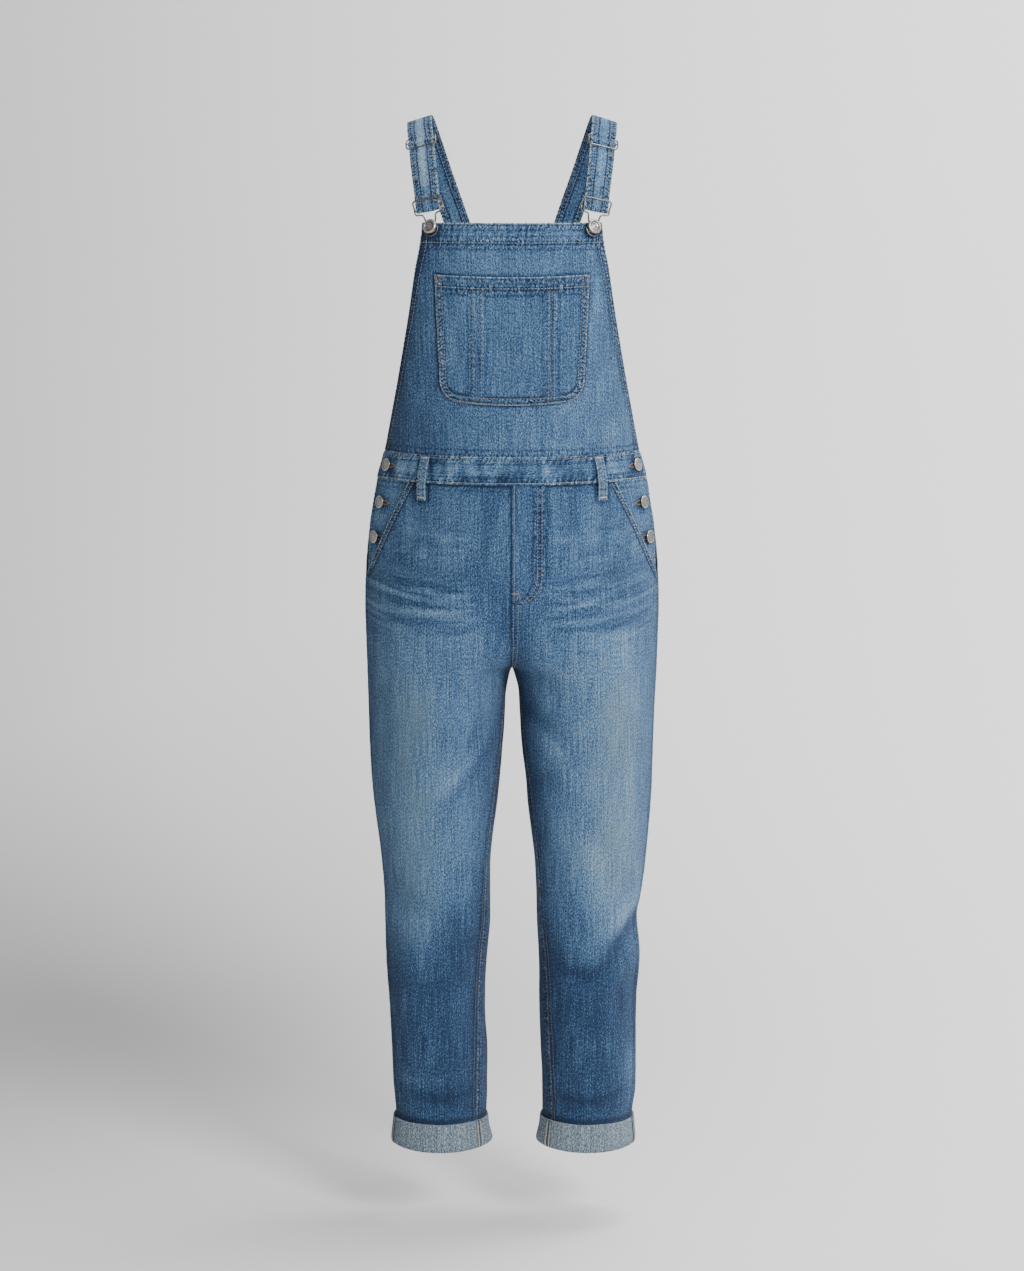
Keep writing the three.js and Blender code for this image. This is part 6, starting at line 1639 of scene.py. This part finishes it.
def side_frame(side, z, x, lift):
    zz = np.array([float(z)])
    a = angle_of_x(side, zz, np.array([float(x)]))
    p, n = body_point(side, zz, a)[0], body_normal(side, zz, a)[0]
    u = unit(body_point(side, zz, a + 0.03)[0] - body_point(side, zz, a - 0.03)[0])
    return p + n * lift, n, u


for side in (-1, 1):
    tag = "L" if side < 0 else "R"
    make_hardware(side)
    foot, axis = button_foot(side)
    # Tone by radius and height: the dark rings in the face's grooves are patina; the darker rim edge, the neck under
    # the cap and the base are painted shade.
    lathe(f"bib_button_{tag}_metal", [[0, 0.1], [6.6, 0.1], [7.6, 0.5], [7.9, 1.2], [7.4, 1.9], [5.0, 2.2], [2.9, 2.4], [2.9, 4.3], [4.5, 4.6], [7.9, 4.6], [9.2, 4.9], [9.75, 5.6], [9.8, 6.6], [9.5, 7.6], [8.8, 8.4], [7.9, 8.85],
          [6.9, 8.9], [6.4, 8.6], [6.0, 8.05], [5.6, 7.95], [5.1, 8.2], [4.6, 8.35], [4.0, 8.2], [3.5, 8.0], [2.6, 8.05], [1.4, 8.3], [0.6, 8.4], [0, 8.42]], foot + axis * 0.9, axis,
          lambda r, h: 1 - 0.95 * np.exp(-((r - 5.7) / 0.9) ** 2) - 0.6 * np.exp(-((r - 2.9) / 0.7) ** 2) - 0.5 * (r > 9.3) - 0.85 * ((h > 2.0) & (h < 5.3)) - 0.35 * (h < 2.0))
    for k, z, x in SIDE_BUTTONS:
        lift = (0.6 if k == 1 else 0) + GAP + 0.25
        p, n, u = side_frame(side, z, x, lift)
        far = side_frame(side, z, x, 8)[0]
        # Tone by radius and height: the dark rings in the face's grooves are patina; the darker rim edge and the base
        # are painted shade.
        lathe(f"side_button_{tag}{k}_metal", [[0, 0], [3.2, 0], [3.2, 0.9], [5.0, 1.0], [7.8, 1.15], [8.4, 1.5], [8.6, 2.1], [8.5, 2.7], [8.1, 3.25], [7.4, 3.5],
              [6.7, 3.45], [6.2, 3.15], [5.9, 2.95], [5.5, 2.98], [5.0, 3.12], [4.0, 3.16], [3.0, 3.05], [2.0, 3.0], [1.2, 3.1], [0.5, 3.15], [0, 3.16]], p, n,
              lambda r, h: 1 - 0.8 * np.exp(-((r - 5.9) / 0.7) ** 2) - 0.4 * np.exp(-((r - 3.0) / 0.9) ** 2) - 0.5 * (r > 8.3) - 0.8 * (h < 1.4))
        # the buttonhole: a slot bound in dense thread, running on past the button
        g = f"buttonholes_{tag}"
        length = 21.0
        host = band_front if k == 1 else legs[tag, "bearer"]
        flat_p, flat_n = host.out.reshape(-1, 3), host.n_out.reshape(-1, 3)
        def settle(q):
            q = np.asarray(q)
            d = ((flat_p[None] - q[:, None]) ** 2).sum(-1)
            j = d.argmin(1)
            nn = flat_n[j]
            return q + nn * (((flat_p[j] - q) * nn).sum(-1))[:, None], nn
        run = np.linspace(-5.0, 16.0, 42)
        zz = np.full(42, float(z))
        c0 = angle_of_x(side, np.array([float(z)]), np.array([float(x)]))[0]
        speed = np.linalg.norm(body_point(side, np.array([float(z)]), np.array([c0 + 0.1]))[0] - body_point(side, np.array([float(z)]), np.array([c0]))[0]) / 0.1
        mid_line = body_point(side, zz, c0 + run / speed)
        spread = 2.5 - 1.7 * smooth((run - 9.0) / 6.0)
        for up in (-1, 1):
            pts, nn = settle(mid_line + np.stack([0 * run, 0 * run, up * spread], -1))
            stitches(g, TAN, pts, np.stack([0 * run, 0 * run, 1 + 0 * run], -1), nn, 1.4, 0.56, 0.7)
        pts, nn = settle(mid_line[[0, -1]])
        bartack(g, pts[1], [0, 0, 1], nn[1], 3.0, 1.3, material=TAN)
        # The slit's dark inside, in near-black thread marks, is painted shade.
        pts, nn = settle(mid_line[6:36])
        stitches(g, HOLE_SHADE, pts, np.gradient(pts, axis=0), nn, 1.2, 1.3, 0.5)

# ---------------------------------------------------------------- thread meshes
thread_objects = {}
for (g, mat), chunks in threads.items():
    base, vs, qs = 0, [], []
    for v, q in chunks:
        vs.append(v)
        qs.append(q + base)
        base += len(v)
    name = f"{g}_{mat.replace('thread_', '')}"
    thread_objects.setdefault(g, []).append(quick_mesh(name, np.concatenate(vs) * MM, np.concatenate(qs), bpy.data.materials[mat]))

# ---------------------------------------------------------------- what each piece is
STANDS_FOR = {
    "bib_front_cloth": "bib_front", "bib_back_cloth": "bib_back", "bib_pocket_cloth": "bib_pocket", "waistband_front_cloth": "waistband_front",
    "waistband_back_cloth": "waistband_back", "fly_cloth": "fly",
}
for tag in "LR":
    for n in ("front_leg", "back_leg", "pocket_bearer", "side_placket", "strap", "cuff"):
        STANDS_FOR[f"{n}_{tag}_cloth"] = f"{n}_{tag}"
    for n in "FB":
        STANDS_FOR[f"belt_loop_{n}{tag}_cloth"] = f"belt_loop_{n}{tag}"
    STANDS_FOR[f"slider_{tag}_wire"], STANDS_FOR[f"clasp_{tag}_wire"] = f"slider_{tag}", f"clasp_{tag}"
    STANDS_FOR[f"bib_button_{tag}_metal"] = f"bib_button_{tag}"
    for k in (1, 2, 3):
        STANDS_FOR[f"side_button_{tag}{k}_metal"] = f"side_button_{tag}{k}"
for name, ob in pieces.items():
    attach(ob, "root")
    if name in STANDS_FOR:
        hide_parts(STANDS_FOR[name])
for g, obs in thread_objects.items():
    for ob in obs:
        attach(ob, "root")

# ---------------------------------------------------------------- the cloth's cut
def declare(panel):
    w, l = panel.width * MM, panel.length * MM
    area = min(panel.area() * MM * MM, w * l)
    print("CUT", panel.name, round(w * 1000), round(l * 1000), round(area, 4))


declare(bib)
declare(pocket)
declare(back_bib)
declare(band_front)
declare(band_back)
declare(fly)
for tag in "LR":
    declare(legs[tag, True])
    declare(legs[tag, False])
    declare(legs[tag, "bearer"])
for side, p in straps.items():
    tag = "L" if side < 0 else "R"
    declare(p)
    ob, girth, area = cuffs[side]
    print("CUT", ob.name, round(girth), round(area / girth))
for name, ob in pieces.items():
    if name.startswith(("belt_loop", "side_placket", "cuff_L_seam", "cuff_R_seam")):
        co = np.empty(len(ob.data.vertices) * 3)
        ob.data.vertices.foreach_get("co", co)
        g = name.replace("_cloth", "_stitches")

# ---------------------------------------------------------------- floor, light and camera
def backdrop_material_with_painted_shade(name, colour, rough):
    """Pale paper with painted shade: a little darker toward the floor's far left and toward the left side, standing in
    for the lamps' falloff and the garment's soft shadow.
    """
    m, t, sh = node_tree(name)
    n = N(t)
    c = n.new("ShaderNodeTexCoord").outputs["Object"]
    parts = n.new("ShaderNodeSeparateXYZ")
    t.links.new(c, parts.inputs[0])
    dx = n.math("DIVIDE", n.math("ADD", parts.outputs[0], 0.85), 1.0)
    dy = n.math("DIVIDE", n.math("SUBTRACT", parts.outputs[1], 1.0), 1.1)
    dz = n.math("DIVIDE", n.math("ADD", parts.outputs[2], 1.5), 0.6)
    d = n.math("ADD", n.math("MULTIPLY", dx, dx), n.math("ADD", n.math("MULTIPLY", dy, dy), n.math("MULTIPLY", dz, dz)))
    dark = n.math("EXPONENT", n.math("MULTIPLY", d, -1.0))
    edge = n.math("DIVIDE", n.math("ADD", parts.outputs[0], 1.35), 0.8)
    edge = n.math("EXPONENT", n.math("MULTIPLY", n.math("MULTIPLY", edge, edge), -1.0))
    dark = n.math("MAXIMUM", n.math("MULTIPLY", dark, 0.62), n.math("MULTIPLY", edge, 0.20))
    t.links.new(n.mix(n.math("MULTIPLY", dark, 1.0), colour, rgb(0.1, 0.1, 0.1)), sh.inputs["Base Color"])
    sh.inputs["Roughness"].default_value = rough
    sh.inputs["Specular IOR Level"].default_value = 0.1
    return m


def backdrop():
    z, back, rise, radius = -1.512, 2.6, 5.0, 1.2
    prof = [(-6.0, z), (back - radius, z)] + [(back - radius + radius * math.sin(a), z + radius - radius * math.cos(a)) for a in np.linspace(0, PI / 2, 25)[1:]] + [(back, z + rise)]
    xs = np.linspace(-7, 7, 3)
    v = [(x, y, h) for y, h in prof for x in xs]
    q = grid_quads(len(prof), 3)
    ob = make_object("backdrop", v, q.tolist(), backdrop_material_with_painted_shade("backdrop", rgb(0.95, 0.95, 0.95), 0.9))


backdrop()
camera = bpy.data.cameras.new("camera")
camera.sensor_fit, camera.sensor_width, camera.sensor_height = "AUTO", 36.0, 36.0
camera.lens = 3481.0 / 1271.0 * 36.0
camera.clip_end = 50
cam = bpy.data.objects.new("camera", camera)
bpy.context.scene.collection.objects.link(cam)
cam.location = (0.0, -4.6484, 0.0002)
cam.rotation_euler = (math.radians(90 - 8.5), 0, 0)
bpy.context.scene.camera = cam


def area_light(name, place, target, size, power, colour=(1, 1, 1)):
    l = bpy.data.lights.new(name, "AREA")
    l.shape, l.size, l.size_y = "RECTANGLE", size[0], size[1]
    l.energy, l.color = power, colour
    ob = bpy.data.objects.new(name, l)
    bpy.context.scene.collection.objects.link(ob)
    ob.location = place
    d = np.array(target, float) - np.array(place, float)
    from mathutils import Vector
    ob.rotation_euler = Vector(d).to_track_quat("-Z", "Y").to_euler()
    return ob


area_light("key", (2.1, -3.4, 1.4), (0, 0, -0.7), (1.3, 1.3), 212)
area_light("fill", (-2.6, -3.4, 0.2), (0, 0, -0.8), (2.0, 2.0), 8)
area_light("top", (0.7, 0.1, 2.9), (0, 0, -0.7), (1.2, 1.2), 60)
area_light("backdrop_light", (2.1, 0.9, 0.8), (1.1, 2.9, -0.7), (1.8, 1.8), 44)
area_light("floor_light", (1.2, 0.1, 1.3), (0.6, -0.6, -1.5), (1.2, 1.2), 20)
world = bpy.data.worlds.new("world")
bpy.context.scene.world = world
world.use_nodes = True
world.node_tree.nodes["Background"].inputs[0].default_value = (1, 1, 1, 1)
world.node_tree.nodes["Background"].inputs[1].default_value = 0.305

tri = {o.name: sum(len(p.vertices) - 2 for p in o.data.polygons) for o in bpy.data.objects if o.type == "MESH" and o.name in set(pieces) | {x.name for v in thread_objects.values() for x in v}}
print("TRIANGLES", sum(tri.values()), "most", sorted(tri.items(), key=lambda kv: -kv[1])[:4])
